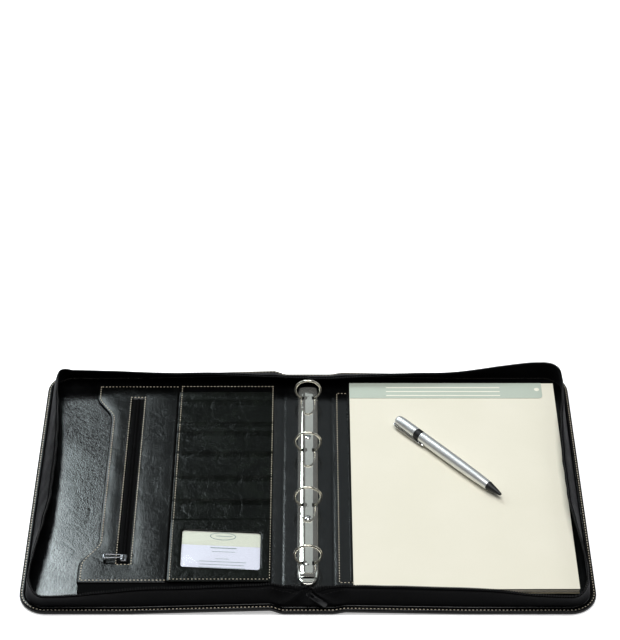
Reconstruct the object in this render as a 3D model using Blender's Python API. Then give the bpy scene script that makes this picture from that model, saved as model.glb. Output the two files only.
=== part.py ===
"""Zip-round ring-binder portfolio case, lying open, in metres with +Z up.

X runs across the open case (front cover at -X, back cover at +X), Y runs along the spine.
The underside lies on Z = 0 and the spine is centred on the origin.
"""

import math

import bmesh
import bpy
from mathutils import Matrix, Vector

MM = 0.001
SMOOTH_ANGLE = math.radians(35.0)

# Case outline
HALF_LENGTH = 268.5 * MM
HALF_WIDTH = 171.5 * MM
CORNER_RADIUS = 26.0 * MM
HINGE_X = 30.0 * MM
HINGE_Z = 0.6 * MM
FORE_SEAM_X = 218.5 * MM

# Layers of a cover, from the underside up
GAP = 0.3 * MM
LEATHER = 1.2 * MM
BOARD = 2.0 * MM
LINING = 0.8 * MM
RIM_WIDTH = 5.0 * MM
RIM_TOP = LEATHER + BOARD + LINING + 2 * GAP
BOARD_Z = LEATHER + GAP
LINING_Z = BOARD_Z + BOARD + GAP
FLOOR_Z = RIM_TOP + GAP
LEATHER_CLEARANCE = 0.8 * MM
BOARD_START_X = 36.0 * MM
SPINE_PANEL_X = 24.5 * MM

# Gusset and zip chain round the opening
GUSSET_INSET = 6.5 * MM
GUSSET_THICKNESS = 1.2 * MM
GUSSET_SLANT = 20.6 * MM
CHAIN_START = 20.9 * MM
CHAIN_END = 23.8 * MM
CORNER_STEPS = 8
STRAIGHT_SHARES = (0.35, 0.65)
MITRE_CLEARANCE = 0.5 * MM
TILT_HINGE = math.radians(24.0)
TILT_TOP = math.radians(42.0)
TILT_SIDE = math.radians(28.0)
TILT_CORNER = math.radians(4.0)
TILT_BOTTOM = math.radians(6.0)

# Ring mechanism
RING_PITCH = 80.0 * MM
RING_OFFSET = 7.8 * MM
RING_COUNT = 4
RING_RADIUS = 12.2 * MM
RING_CENTRE_Z = 19.4 * MM
WIRE_RADIUS = 1.2 * MM
RING_SEGMENTS = 14
ARCH_STEPS = 8
ARCH_FULLNESS = 0.75
RIVET_SEGMENTS = 16
RIVET_PROFILE = ((0.0, 1.0), (0.25, 0.85), (0.4, 0.0))
TRIGGER_STEPS = 14
RING_TAIL = Vector((6.6 * MM, 7.9 * MM))
HOUSING_HALF_WIDTH = 10.0 * MM
HOUSING_TOP_Y = 145.3 * MM
HOUSING_BOTTOM_Y = -129.7 * MM
HOUSING_TOP_Z = 9.8 * MM
HOUSING_WALL = 0.8 * MM
SLOT_HALF_LENGTH = 2.6 * MM
SLOT_START_X = 4.4 * MM
SLOT_BOTTOM_Z = 5.9 * MM
BLADE_PIVOT_X = 8.4 * MM
BLADE_PIVOT_Z = 5.6 * MM
BLADE_THICKNESS = 0.8 * MM
BLADE_HALF_LENGTH = 131.0 * MM
RIVET_RADIUS = 3.0 * MM
RIVET_Y = 58.75 * MM
TRIGGER_RADIUS = 8.0 * MM
TRIGGER_PIVOT_Y = -130.8 * MM
TRIGGER_Z = 5.6 * MM
TRIGGER_THICKNESS = 2.2 * MM

# Organiser on the front cover
ORGANISER_RIGHT = -34.8 * MM
ORGANISER_SEAM = -132.4 * MM
ORGANISER_LEFT = -216.2 * MM
ORGANISER_WAIST = -199.6 * MM
WAIST_STEPS = 6
ORGANISER_TOP = 150.2 * MM
ORGANISER_BOTTOM = -136.1 * MM
BACKING_BOTTOM = -148.6 * MM
BACKING_Z = FLOOR_Z
BACKING_THICKNESS = 0.7 * MM
PANEL_Z = BACKING_Z + BACKING_THICKNESS + GAP
PANEL_THICKNESS = 1.0 * MM
WAIST_TOP = 97.8 * MM
WAIST_BOTTOM = -80.3 * MM
WAIST_RUN = 34.0 * MM
ZIP_X = -174.0 * MM
ZIP_MOUTH_WIDTH = 10.8 * MM
ZIP_MOUTH_RADIUS = 1.5 * MM
ZIP_TOP = 128.7 * MM
ZIP_BOTTOM = -110.6 * MM
ZIP_CHAIN_WIDTH = 4.6 * MM
TAPE_THICKNESS = 0.6 * MM
CHAIN_THICKNESS = 1.3 * MM
SLIDER_Y = -105.0 * MM
SLIDER_LENGTH = 9.0 * MM
SLIDER_WIDTH = 7.0 * MM
SLIDER_HEIGHT = 2.4 * MM
SLIDER_RADIUS = 2.0 * MM
PULL_LENGTH = 20.0 * MM
PULL_WIDTH = 6.5 * MM
PULL_THICKNESS = 1.0 * MM

# Card slots, each given by the height of its mouth along Y
SLOT_MOUTHS = [138.6 * MM, 125.6 * MM, 91.6 * MM, 77.6 * MM, 46.6 * MM, 11.1 * MM, -22.4 * MM]
SLOT_THICKNESS = 0.6 * MM
SLOT_LIP = 1.2 * MM
SLOT_RAMP = 10.0 * MM
SLOT_OVERLAP = 2.5 * MM
WINDOW_PANEL_TOP = -51.4 * MM
WINDOW_PANEL_Z = 7.9 * MM
WINDOW_PANEL_THICKNESS = 0.8 * MM
WINDOW_X = -82.6 * MM
WINDOW_Y = -93.9 * MM
WINDOW_SIZE = (75.0 * MM, 50.0 * MM)
WINDOW_RADIUS = 3.0 * MM
FILM_Z = 7.4 * MM
FILM_THICKNESS = 0.2 * MM
FILM_MARGIN = 4.0 * MM
CARD_SIZE = (85.0 * MM, 55.0 * MM)
CARD_Z = 6.8 * MM
CARD_THICKNESS = 0.3 * MM

# Pad on the back cover
PAD_LEFT = 42.5 * MM
PAD_RIGHT = 252.5 * MM
PAD_TOP = 147.3 * MM
PAD_BOTTOM = -149.7 * MM
PAD_POCKET_LEFT = 39.5 * MM
PAD_POCKET_RIGHT = 200.0 * MM
PAD_POCKET_TOP = 148.4 * MM
PAD_POCKET_BOTTOM = -133.4 * MM
PAD_POCKET_THICKNESS = 0.8 * MM
PAD_BOARD_Z = FLOOR_Z + PAD_POCKET_THICKNESS + GAP
PAD_BOARD_THICKNESS = 0.8 * MM
PAD_SHEETS_Z = PAD_BOARD_Z + PAD_BOARD_THICKNESS + GAP
PAD_SHEETS_THICKNESS = 4.8 * MM
HEADER_Z = PAD_SHEETS_Z + PAD_SHEETS_THICKNESS + GAP
HEADER_THICKNESS = 0.3 * MM
HEADER_RIGHT = 240.0 * MM
HEADER_DEPTH = 24.0 * MM
HEADER_RADIUS = 4.0 * MM

# Pen on the pad
PEN_TOP = Vector((90.0 * MM, 82.9 * MM))
PEN_TIP = Vector((186.8 * MM, -28.1 * MM))
PEN_RADIUS = 5.7 * MM
PEN_Z = HEADER_Z + HEADER_THICKNESS + GAP + PEN_RADIUS
PEN_SEGMENTS = 20
PEN_BAND_START = 0.195
PEN_BAND_END = 0.24
PEN_TIP_START = 0.885
PEN_TAPER_START = 0.6
PEN_BAND_RADIUS = 0.93 * PEN_RADIUS
PEN_END_RADIUS = 0.8 * PEN_RADIUS
PEN_TOP_PROFILE = ((0.0, 0.55), (0.3, 0.8), (0.8, 0.92))
PEN_TIP_PROFILE = ((PEN_TIP_START, 0.78), (0.985, 0.32), (1.0, 0.2))
CLIP_START = 5.0 * MM
CLIP_LENGTH = 44.0 * MM
CLIP_FOOT = 3.0 * MM
CLIP_WIDTH = 3.6 * MM
CLIP_THICKNESS = 1.0 * MM
CLIP_STANDOFF = 0.9 * MM
CLIP_ROLL = math.radians(-26.0)

# Main zip slider at the foot of the spine
MAIN_SLIDER_SIZE = (7.0 * MM, 3.4 * MM, 8.0 * MM)
MAIN_SLIDER_SLANT = 15.0 * MM
MAIN_PULL_LENGTH = 22.0 * MM
MAIN_PULL_WIDTH = 5.0 * MM
MAIN_PULL_THICKNESS = 1.2 * MM
MAIN_PULL_SWING = math.radians(55.0)

# Colour, roughness and metallic value of each material
MATERIALS = {
    "black_leather": ((0.012, 0.012, 0.013), 0.32, 0.0),
    "black_lining": ((0.016, 0.017, 0.018), 0.30, 0.0),
    "grey_board": ((0.22, 0.20, 0.17), 0.85, 0.0),
    "black_fabric": ((0.010, 0.010, 0.010), 0.85, 0.0),
    "black_plastic": ((0.015, 0.015, 0.015), 0.40, 0.0),
    "chrome": ((0.82, 0.83, 0.84), 0.12, 1.0),
    "satin_silver": ((0.62, 0.63, 0.64), 0.30, 1.0),
    "clear_film": ((0.90, 0.92, 0.93), 0.05, 0.0),
    "white_card": ((0.86, 0.86, 0.90), 0.45, 0.0),
    "cream_paper": ((0.84, 0.81, 0.67), 0.75, 0.0),
    "sage_paper": ((0.42, 0.44, 0.36), 0.70, 0.0),
    "kraft_board": ((0.30, 0.24, 0.16), 0.85, 0.0),
}


def clear_scene():
    """Remove every object that the scene starts with."""
    for item in list(bpy.data.objects):
        bpy.data.objects.remove(item, do_unlink=True)


def make_materials():
    """Return one Principled material for each entry of MATERIALS."""
    made = {}
    for name, (colour, roughness, metallic) in MATERIALS.items():
        material = bpy.data.materials.new(name)
        material.use_nodes = True
        shader = material.node_tree.nodes["Principled BSDF"]
        shader.inputs["Base Color"].default_value = (*colour, 1.0)
        shader.inputs["Roughness"].default_value = roughness
        shader.inputs["Metallic"].default_value = metallic
        material.diffuse_color = (*colour, 1.0)
        made[name] = material
    return made


def add_object(name, mesh, material, smooth=False):
    """Link a mesh to the scene as a named object with its own material."""
    item = bpy.data.objects.new(name, mesh)
    bpy.context.collection.objects.link(item)
    mesh.materials.append(material.copy())
    if smooth:
        mesh.shade_smooth()
        mesh.set_sharp_from_angle(angle=SMOOTH_ANGLE)
    return item


def mesh_from(name, points, faces):
    """Return a mesh with its faces turned outward."""
    mesh = bpy.data.meshes.new(name)
    mesh.from_pydata([tuple(p) for p in points], [], faces)
    work = bmesh.new()
    work.from_mesh(mesh)
    bmesh.ops.recalc_face_normals(work, faces=work.faces)
    work.to_mesh(mesh)
    work.free()
    return mesh


def prism(name, outline, bottom, height, material):
    """Extrude a flat outline straight up."""
    count = len(outline)
    points = [(x, y, bottom) for x, y in outline]
    points += [(x, y, bottom + height) for x, y in outline]
    faces = [list(range(count)), list(range(count, 2 * count))]
    for i in range(count):
        j = (i + 1) % count
        faces.append([i, j, count + j, count + i])
    return add_object(name, mesh_from(name, points, faces), material)


def extrude_profile(name, profile, start, end, material, along="Y", smooth=False):
    """Extrude a flat profile along Y (profile in X and Z) or along X (profile in Y and Z)."""
    count = len(profile)
    points = []
    for place in (start, end):
        for across, up in profile:
            points.append((across, place, up) if along == "Y" else (place, across, up))
    faces = [list(range(count)), list(range(count, 2 * count))]
    for i in range(count):
        j = (i + 1) % count
        faces.append([i, j, count + j, count + i])
    return add_object(name, mesh_from(name, points, faces), material, smooth)


def arc(centre, radius, start, end, steps):
    """Return points on an arc, with its angles in radians."""
    points = []
    for i in range(steps + 1):
        angle = start + (end - start) * i / steps
        points.append((centre[0] + radius * math.cos(angle), centre[1] + radius * math.sin(angle)))
    return points


def rounded_rectangle(left, right, bottom, top, radii, steps=CORNER_STEPS):
    """Return an anticlockwise outline; radii are for right-bottom, right-top, left-top, left-bottom."""
    corners = [
        (right, bottom, -1, 1, -0.5 * math.pi),
        (right, top, -1, -1, 0.0),
        (left, top, 1, -1, 0.5 * math.pi),
        (left, bottom, 1, 1, math.pi),
    ]
    points = []
    for (x, y, to_x, to_y, start), radius in zip(corners, radii):
        if radius > 0.0:
            centre = (x + to_x * radius, y + to_y * radius)
            points += arc(centre, radius, start, start + 0.5 * math.pi, steps)
        else:
            points.append((x, y))
    return points


def cover_outline(side, start, inset=0.0, end=HALF_LENGTH):
    """Return a cover's outline: square at the spine, and round at the fore-edge where it reaches it."""
    reach = end - inset
    half = HALF_WIDTH - inset
    radius = CORNER_RADIUS - inset if end == HALF_LENGTH else 0.0
    if side > 0:
        return rounded_rectangle(start, reach, -half, half, (radius, radius, 0.0, 0.0))
    return rounded_rectangle(-reach, -start, -half, half, (0.0, 0.0, radius, radius))


def cut(item, cutter):
    """Subtract a hidden cutter from an object."""
    cutter.hide_render = True
    cutter.display_type = "WIRE"
    modifier = item.modifiers.new("cut", "BOOLEAN")
    modifier.operation = "DIFFERENCE"
    modifier.solver = "EXACT"
    modifier.object = cutter


def tray(name, side, start, end, material):
    """Make a leather panel whose edge is turned up round the board, with no rim by the hinge."""
    item = prism(name, cover_outline(side, start, 0.0, end), 0.0, RIM_TOP, material)
    reach = HALF_LENGTH if end == HALF_LENGTH else HALF_LENGTH + CORNER_RADIUS
    inside = cover_outline(side, start - RIM_WIDTH, RIM_WIDTH, reach)
    cut(item, prism(name + "_hollow", inside, LEATHER, RIM_TOP, material))
    if start < BOARD_START_X:
        bounds = sorted((side * (start - RIM_WIDTH), side * BOARD_START_X))
        relief = rounded_rectangle(*bounds, -2 * HALF_WIDTH, 2 * HALF_WIDTH, (0.0,) * 4)
        cut(item, prism(name + "_relief", relief, LEATHER, RIM_TOP, material))
    return item


def cover_layers(prefix, side, paint):
    """Make a cover's board and lining."""
    inset = RIM_WIDTH + GAP
    outline = cover_outline(side, BOARD_START_X, inset)
    prism(prefix + "_board", outline, BOARD_Z, BOARD, paint["grey_board"])
    prism(prefix + "_lining", outline, LINING_Z, LINING, paint["black_lining"])


def gusset_stations(side):
    """Return (base point, inward normal, tilt, mitre) round a cover from hinge top to hinge bottom."""
    reach = HALF_LENGTH - GUSSET_INSET
    half = HALF_WIDTH - GUSSET_INSET
    radius = CORNER_RADIUS - GUSSET_INSET
    first = HINGE_X + FLOOR_Z - HINGE_Z + MITRE_CLEARANCE
    stations = [((first, half), (0.0, -1.0), TILT_HINGE, 1.0)]
    for share in STRAIGHT_SHARES:
        stations.append(((first + share * (reach - first), half), (0.0, -1.0), TILT_TOP, 0.0))
    for i in range(CORNER_STEPS + 1):
        turn = 0.5 * math.pi * (1.0 - i / CORNER_STEPS)
        outward = (math.cos(turn), math.sin(turn))
        centre = (reach - radius, half - radius)
        base = (centre[0] + radius * outward[0], centre[1] + radius * outward[1])
        stations.append((base, (-outward[0], -outward[1]), TILT_SIDE, 0.0))
    stations.append(((reach, 0.0), (-1.0, 0.0), TILT_SIDE, 0.0))
    stations.append(((reach, -0.5 * half), (-1.0, 0.0), TILT_SIDE, 0.0))
    for i in range(CORNER_STEPS + 1):
        turn = -0.5 * math.pi * i / CORNER_STEPS
        outward = (math.cos(turn), math.sin(turn))
        centre = (reach - radius, radius - half)
        base = (centre[0] + radius * outward[0], centre[1] + radius * outward[1])
        stations.append((base, (-outward[0], -outward[1]), TILT_CORNER, 0.0))
    for share in reversed(STRAIGHT_SHARES):
        stations.append(((first + share * (reach - first), -half), (0.0, 1.0), TILT_BOTTOM, 0.0))
    stations.append(((first, -half), (0.0, 1.0), TILT_HINGE, 1.0))
    return [((side * b[0], b[1]), (side * n[0], n[1]), t, side * m) for b, n, t, m in stations]


def slanted_strip(name, stations, low, high, material):
    """Make a closed strip between two slant heights, leaning by each station's tilt."""
    points = []
    for base, inward, tilt, mitre in stations:
        for slant in (low, high):
            up = slant * math.cos(tilt)
            lean = slant * math.sin(tilt)
            for layer in (0.0, GUSSET_THICKNESS):
                x = base[0] + inward[0] * (lean + layer) + mitre * up
                y = base[1] + inward[1] * (lean + layer)
                points.append((x, y, FLOOR_Z + up))
    faces = [[0, 1, 3, 2]]
    last = 4 * (len(stations) - 1)
    faces.append([last, last + 2, last + 3, last + 1])
    for i in range(len(stations) - 1):
        a = 4 * i
        b = a + 4
        for j, k in ((0, 1), (1, 3), (3, 2), (2, 0)):
            faces.append([a + j, a + k, b + k, b + j])
    return add_object(name, mesh_from(name, points, faces), material, smooth=True)


def cover_gusset(prefix, side, paint):
    """Make a cover's share of the gusset and of the zip chain on its top edge."""
    stations = gusset_stations(side)
    slanted_strip(prefix + "_gusset", stations, 0.0, GUSSET_SLANT, paint["black_fabric"])
    slanted_strip(prefix + "_zip_chain", stations, CHAIN_START, CHAIN_END, paint["black_plastic"])


def spine_gusset(name, end, paint):
    """Make the mitred gusset that closes one end of the spine."""
    base_half = HINGE_X - (FLOOR_Z - HINGE_Z) - MITRE_CLEARANCE
    y = end * (HALF_WIDTH - GUSSET_INSET)
    stations = [
        ((-base_half, y), (0.0, -end), TILT_HINGE, 1.0),
        ((base_half, y), (0.0, -end), TILT_HINGE, -1.0),
    ]
    return slanted_strip(name, stations, 0.0, GUSSET_SLANT, paint["black_fabric"])


def spine_shell(paint):
    """Make the spine's leather, board and lining."""
    half = HINGE_X - LEATHER_CLEARANCE
    square = (0.0,) * 4
    outline = rounded_rectangle(-half, half, -HALF_WIDTH, HALF_WIDTH, square)
    leather = prism("spine_leather", outline, 0.0, RIM_TOP, paint["black_leather"])
    inner = HALF_WIDTH - RIM_WIDTH
    hollow = rounded_rectangle(-2 * half, 2 * half, -inner, inner, square)
    cut(leather, prism("spine_hollow", hollow, LEATHER, RIM_TOP, paint["black_leather"]))
    for side, name in ((-1, "left"), (1, "right")):
        bounds = sorted((side * SPINE_PANEL_X, side * 2 * half))
        relief = rounded_rectangle(*bounds, -2 * HALF_WIDTH, 2 * HALF_WIDTH, square)
        cutter = prism("spine_relief_" + name, relief, LEATHER, RIM_TOP, paint["black_leather"])
        cut(leather, cutter)
    reach = inner - GAP
    panel = rounded_rectangle(-SPINE_PANEL_X, SPINE_PANEL_X, -reach, reach, square)
    prism("spine_board", panel, BOARD_Z, BOARD, paint["grey_board"])
    prism("spine_lining", panel, LINING_Z, LINING, paint["black_lining"])


def ring_positions():
    """Return the Y of each ring, from the top of the spine down."""
    middle = 0.5 * (RING_COUNT - 1)
    return [RING_OFFSET + RING_PITCH * (middle - i) for i in range(RING_COUNT)]


def arch(width, top, steps=ARCH_STEPS):
    """Return an arch profile from its left foot to its right foot."""
    points = []
    for i in range(steps + 1):
        turn = math.pi * (1.0 - i / steps)
        rise = math.sin(turn) ** ARCH_FULLNESS
        points.append((width * math.cos(turn), FLOOR_Z + (top - FLOOR_Z) * rise))
    return points


def ring_housing(paint):
    """Make the arched chrome housing with a slot on each side of every ring."""
    outer = arch(HOUSING_HALF_WIDTH, HOUSING_TOP_Z)
    inner = arch(HOUSING_HALF_WIDTH - HOUSING_WALL, HOUSING_TOP_Z - HOUSING_WALL)
    profile = outer + inner[::-1]
    housing = extrude_profile(
        "ring_housing", profile, HOUSING_BOTTOM_Y, HOUSING_TOP_Y, paint["chrome"], smooth=True
    )
    number = 0
    for y in ring_positions():
        for side in (-1, 1):
            number += 1
            bounds = sorted((side * SLOT_START_X, side * 2 * HOUSING_HALF_WIDTH))
            outline = rounded_rectangle(
                *bounds, y - SLOT_HALF_LENGTH, y + SLOT_HALF_LENGTH, (0.0,) * 4
            )
            name = f"housing_slot_{number}"
            cut(housing, prism(name, outline, SLOT_BOTTOM_Z, 2 * HOUSING_TOP_Z, paint["chrome"]))
    return housing


def turned(name, outline, matrix, material, segments=PEN_SEGMENTS):
    """Spin an outline of (along, radius) points about its own axis and place it."""
    points = []
    rings = []
    for along, radius in outline:
        if radius == 0.0:
            rings.append([len(points)])
            points.append(matrix @ Vector((0.0, 0.0, along)))
            continue
        rings.append(list(range(len(points), len(points) + segments)))
        for i in range(segments):
            turn = 2.0 * math.pi * i / segments
            place = Vector((radius * math.cos(turn), radius * math.sin(turn), along))
            points.append(matrix @ place)
    faces = []
    for low, high in zip(rings[:-1], rings[1:]):
        for i in range(segments):
            j = (i + 1) % segments
            corners = [low[i % len(low)], low[j % len(low)], high[j % len(high)], high[i % len(high)]]
            faces.append(list(dict.fromkeys(corners)))
    for ring in (rings[0], rings[-1]):
        if len(ring) > 1:
            faces.append(ring)
    return add_object(name, mesh_from(name, points, faces), material, smooth=True)


def rivets(paint):
    """Make the two rivets that hold the housing to the spine, between the ring pairs."""
    for name, y in (("housing_rivet_top", 1), ("housing_rivet_bottom", -1)):
        centre = Matrix.Translation((0.0, RING_OFFSET + y * RIVET_Y, HOUSING_TOP_Z + GAP))
        head = [(along * RIVET_RADIUS, out * RIVET_RADIUS) for along, out in RIVET_PROFILE]
        turned(name, head, centre, paint["chrome"], RIVET_SEGMENTS)


def set_origin(item, place):
    """Move an object's origin without moving its mesh."""
    item.data.transform(Matrix.Translation(-Vector(place)))
    item.location = place


def ring_half(name, side, y, paint):
    """Make one bent wire half ring with the tail that its blade holds."""
    curve = bpy.data.curves.new(name, "CURVE")
    curve.dimensions = "3D"
    curve.bevel_depth = WIRE_RADIUS
    curve.bevel_resolution = 2
    curve.use_fill_caps = True
    curve.resolution_u = 1
    curve.render_resolution_u = 0
    foot = math.asin((RING_CENTRE_Z - RING_TAIL.y - WIRE_RADIUS) / RING_RADIUS)
    top = 0.5 * math.pi - 0.5 * GAP / RING_RADIUS
    path = [(RING_TAIL.x, RING_TAIL.y)]
    for i in range(RING_SEGMENTS + 1):
        turn = -foot + (top + foot) * i / RING_SEGMENTS
        path.append((RING_RADIUS * math.cos(turn), RING_CENTRE_Z + RING_RADIUS * math.sin(turn)))
    spline = curve.splines.new("POLY")
    spline.points.add(len(path) - 1)
    for point, (across, up) in zip(spline.points, path):
        point.co = (side * (across - BLADE_PIVOT_X), 0.0, up - BLADE_PIVOT_Z, 1.0)
    item = bpy.data.objects.new(name, curve)
    bpy.context.collection.objects.link(item)
    curve.materials.append(paint["chrome"].copy())
    item.location = (side * BLADE_PIVOT_X, y, BLADE_PIVOT_Z)
    return item


def ring_blades(paint):
    """Make the two hinge blades and the ring halves on them, with origins on their pivots."""
    for side, name in ((-1, "left"), (1, "right")):
        low = BLADE_PIVOT_Z - 0.5 * BLADE_THICKNESS
        bounds = sorted((side * GAP, side * (BLADE_PIVOT_X - GAP)))
        ends = (RING_OFFSET - BLADE_HALF_LENGTH, RING_OFFSET + BLADE_HALF_LENGTH)
        outline = rounded_rectangle(*bounds, *ends, (0.0,) * 4)
        blade = prism("ring_blade_" + name, outline, low, BLADE_THICKNESS, paint["chrome"])
        set_origin(blade, (side * BLADE_PIVOT_X, 0.0, BLADE_PIVOT_Z))
        for number, y in enumerate(ring_positions(), 1):
            ring_half(f"ring_half_{name}_{number}", side, y, paint)


def ring_trigger(paint):
    """Make the half-round lever at the lower end of the housing."""
    outline = arc((0.0, TRIGGER_PIVOT_Y), TRIGGER_RADIUS, math.pi, 2.0 * math.pi, TRIGGER_STEPS)
    trigger = prism("ring_trigger", outline, TRIGGER_Z, TRIGGER_THICKNESS, paint["chrome"])
    set_origin(trigger, (0.0, TRIGGER_PIVOT_Y, TRIGGER_Z + 0.5 * TRIGGER_THICKNESS))


def smooth_step(share):
    """Ease a share from 0 to 1."""
    return share * share * (3.0 - 2.0 * share)


def waisted_edge(steps=WAIST_STEPS):
    """Return the zip panel's left edge from bottom to top, drawn in at its waist."""
    depth = ORGANISER_WAIST - ORGANISER_LEFT
    points = []
    for i in range(steps + 1):
        share = i / steps
        y = WAIST_BOTTOM - WAIST_RUN + WAIST_RUN * share
        points.append((ORGANISER_LEFT + depth * smooth_step(share), y))
    for i in range(steps + 1):
        share = i / steps
        y = WAIST_TOP + WAIST_RUN * share
        points.append((ORGANISER_WAIST - depth * smooth_step(share), y))
    return points


def waisted_outline(right, bottom):
    """Return an anticlockwise outline with the waisted edge on its left."""
    outline = [(right, bottom), (ORGANISER_LEFT, bottom)]
    return outline + waisted_edge() + [(ORGANISER_LEFT, ORGANISER_TOP), (right, ORGANISER_TOP)]


def zip_pocket(paint):
    """Make the zip pocket panel, its tape and chain, its slider and its pull."""
    outline = waisted_outline(ORGANISER_SEAM - GAP, ORGANISER_BOTTOM)
    panel = prism("zip_pocket_panel", outline, PANEL_Z, PANEL_THICKNESS, paint["black_leather"])
    half = 0.5 * ZIP_MOUTH_WIDTH
    mouth = rounded_rectangle(
        ZIP_X - half, ZIP_X + half, ZIP_BOTTOM, ZIP_TOP, (ZIP_MOUTH_RADIUS,) * 4, 3
    )
    cut(panel, prism("zip_mouth", mouth, BACKING_Z, 4 * PANEL_THICKNESS, paint["black_leather"]))
    edge = half - GAP
    chain = 0.5 * ZIP_CHAIN_WIDTH
    profile = [
        (ZIP_X - edge, PANEL_Z), (ZIP_X + edge, PANEL_Z),
        (ZIP_X + edge, PANEL_Z + TAPE_THICKNESS), (ZIP_X + chain, PANEL_Z + TAPE_THICKNESS),
        (ZIP_X + chain, PANEL_Z + CHAIN_THICKNESS), (ZIP_X - chain, PANEL_Z + CHAIN_THICKNESS),
        (ZIP_X - chain, PANEL_Z + TAPE_THICKNESS), (ZIP_X - edge, PANEL_Z + TAPE_THICKNESS),
    ]
    start = ZIP_BOTTOM + ZIP_MOUTH_RADIUS
    end = ZIP_TOP - ZIP_MOUTH_RADIUS
    extrude_profile("pocket_zip_tape", profile, start, end, paint["black_fabric"])
    zip_slider(paint)


def zip_slider(paint):
    """Make the pocket zip's slider body and the pull on it, which lies to its left."""
    low = PANEL_Z + CHAIN_THICKNESS + GAP
    half_width = 0.5 * SLIDER_WIDTH
    half_length = 0.5 * SLIDER_LENGTH
    body = rounded_rectangle(
        ZIP_X - half_width, ZIP_X + half_width, SLIDER_Y - half_length, SLIDER_Y + half_length,
        (SLIDER_RADIUS,) * 4, 3,
    )
    prism("pocket_zip_slider", body, low, SLIDER_HEIGHT, paint["black_plastic"])
    half_pull = 0.5 * PULL_WIDTH
    tab = rounded_rectangle(
        ZIP_X - PULL_LENGTH, ZIP_X + 0.5 * PULL_THICKNESS, SLIDER_Y - half_pull,
        SLIDER_Y + half_pull, (0.0, 0.0, SLIDER_RADIUS, SLIDER_RADIUS), 3,
    )
    bottom = low + SLIDER_HEIGHT + 2 * GAP
    pull = prism("pocket_zip_pull", tab, bottom, PULL_THICKNESS, paint["black_plastic"])
    set_origin(pull, (ZIP_X, SLIDER_Y, bottom + 0.5 * PULL_THICKNESS))


def card_slots(paint):
    """Make the overlapping card-slot strips, each tucked under the mouth of the next."""
    ends = SLOT_MOUTHS[1:] + [WINDOW_PANEL_TOP]
    for number, (mouth, following) in enumerate(zip(SLOT_MOUTHS, ends), 1):
        low = PANEL_Z
        high = PANEL_Z + SLOT_LIP
        knee = mouth - min(SLOT_RAMP, mouth - following - SLOT_OVERLAP)
        foot = following - SLOT_OVERLAP
        under = [(mouth, high), (knee, low), (foot, low)]
        over = [(y, z + SLOT_THICKNESS) for y, z in reversed(under)]
        name = f"card_slot_{number}"
        left = ORGANISER_SEAM + GAP
        strip = under + over
        extrude_profile(name, strip, left, ORGANISER_RIGHT, paint["black_leather"], along="X")


def organiser(paint):
    """Make the organiser that is sewn to the front lining."""
    backing = waisted_outline(ORGANISER_RIGHT, BACKING_BOTTOM)
    prism("organiser_backing", backing, BACKING_Z, BACKING_THICKNESS, paint["black_leather"])
    zip_pocket(paint)
    card_slots(paint)
    left = ORGANISER_SEAM + GAP
    frame = rounded_rectangle(left, ORGANISER_RIGHT, ORGANISER_BOTTOM, WINDOW_PANEL_TOP, (0.0,) * 4)
    height = WINDOW_PANEL_THICKNESS
    panel = prism("window_panel", frame, WINDOW_PANEL_Z, height, paint["black_leather"])
    half_x = 0.5 * WINDOW_SIZE[0]
    half_y = 0.5 * WINDOW_SIZE[1]
    opening = rounded_rectangle(
        WINDOW_X - half_x, WINDOW_X + half_x, WINDOW_Y - half_y, WINDOW_Y + half_y,
        (WINDOW_RADIUS,) * 4, 4,
    )
    cutter = prism("window_cutter", opening, CARD_Z, 4 * height, paint["black_leather"])
    cut(panel, cutter)
    film = rounded_rectangle(
        WINDOW_X - half_x - FILM_MARGIN, WINDOW_X + half_x + FILM_MARGIN,
        WINDOW_Y - half_y - FILM_MARGIN, WINDOW_Y + half_y + FILM_MARGIN, (0.0,) * 4,
    )
    prism("window_film", film, FILM_Z, FILM_THICKNESS, paint["clear_film"])
    card = rounded_rectangle(
        WINDOW_X - 0.5 * CARD_SIZE[0], WINDOW_X + 0.5 * CARD_SIZE[0],
        WINDOW_Y - 0.5 * CARD_SIZE[1], WINDOW_Y + 0.5 * CARD_SIZE[1], (WINDOW_RADIUS,) * 4, 4,
    )
    prism("business_card", card, CARD_Z, CARD_THICKNESS, paint["white_card"])


def pad(paint):
    """Make the pocket panel on the back lining, and the writing pad that is tucked into it."""
    pocket = rounded_rectangle(
        PAD_POCKET_LEFT, PAD_POCKET_RIGHT, PAD_POCKET_BOTTOM, PAD_POCKET_TOP, (0.0,) * 4
    )
    prism("pad_pocket_panel", pocket, FLOOR_Z, PAD_POCKET_THICKNESS, paint["black_leather"])
    sheet = rounded_rectangle(PAD_LEFT, PAD_RIGHT, PAD_BOTTOM, PAD_TOP, (0.0,) * 4)
    prism("pad_board", sheet, PAD_BOARD_Z, PAD_BOARD_THICKNESS, paint["kraft_board"])
    prism("pad_sheets", sheet, PAD_SHEETS_Z, PAD_SHEETS_THICKNESS, paint["cream_paper"])
    header = rounded_rectangle(
        PAD_LEFT, HEADER_RIGHT, PAD_TOP - HEADER_DEPTH, PAD_TOP, (HEADER_RADIUS, 0.0, 0.0, 0.0), 4
    )
    prism("pad_header", header, HEADER_Z, HEADER_THICKNESS, paint["sage_paper"])


def pen_frame():
    """Return the pen's length and the matrix that lays its own +Z from its top to its tip."""
    axis = PEN_TIP - PEN_TOP
    heading = Vector((axis.x, axis.y, 0.0)).normalized()
    up = Vector((0.0, 0.0, 1.0))
    across = up.cross(heading)
    turn = Matrix((across, up, heading)).transposed().to_4x4()
    place = Matrix.Translation((PEN_TOP.x, PEN_TOP.y, PEN_Z))
    return axis.length, place @ turn


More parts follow.
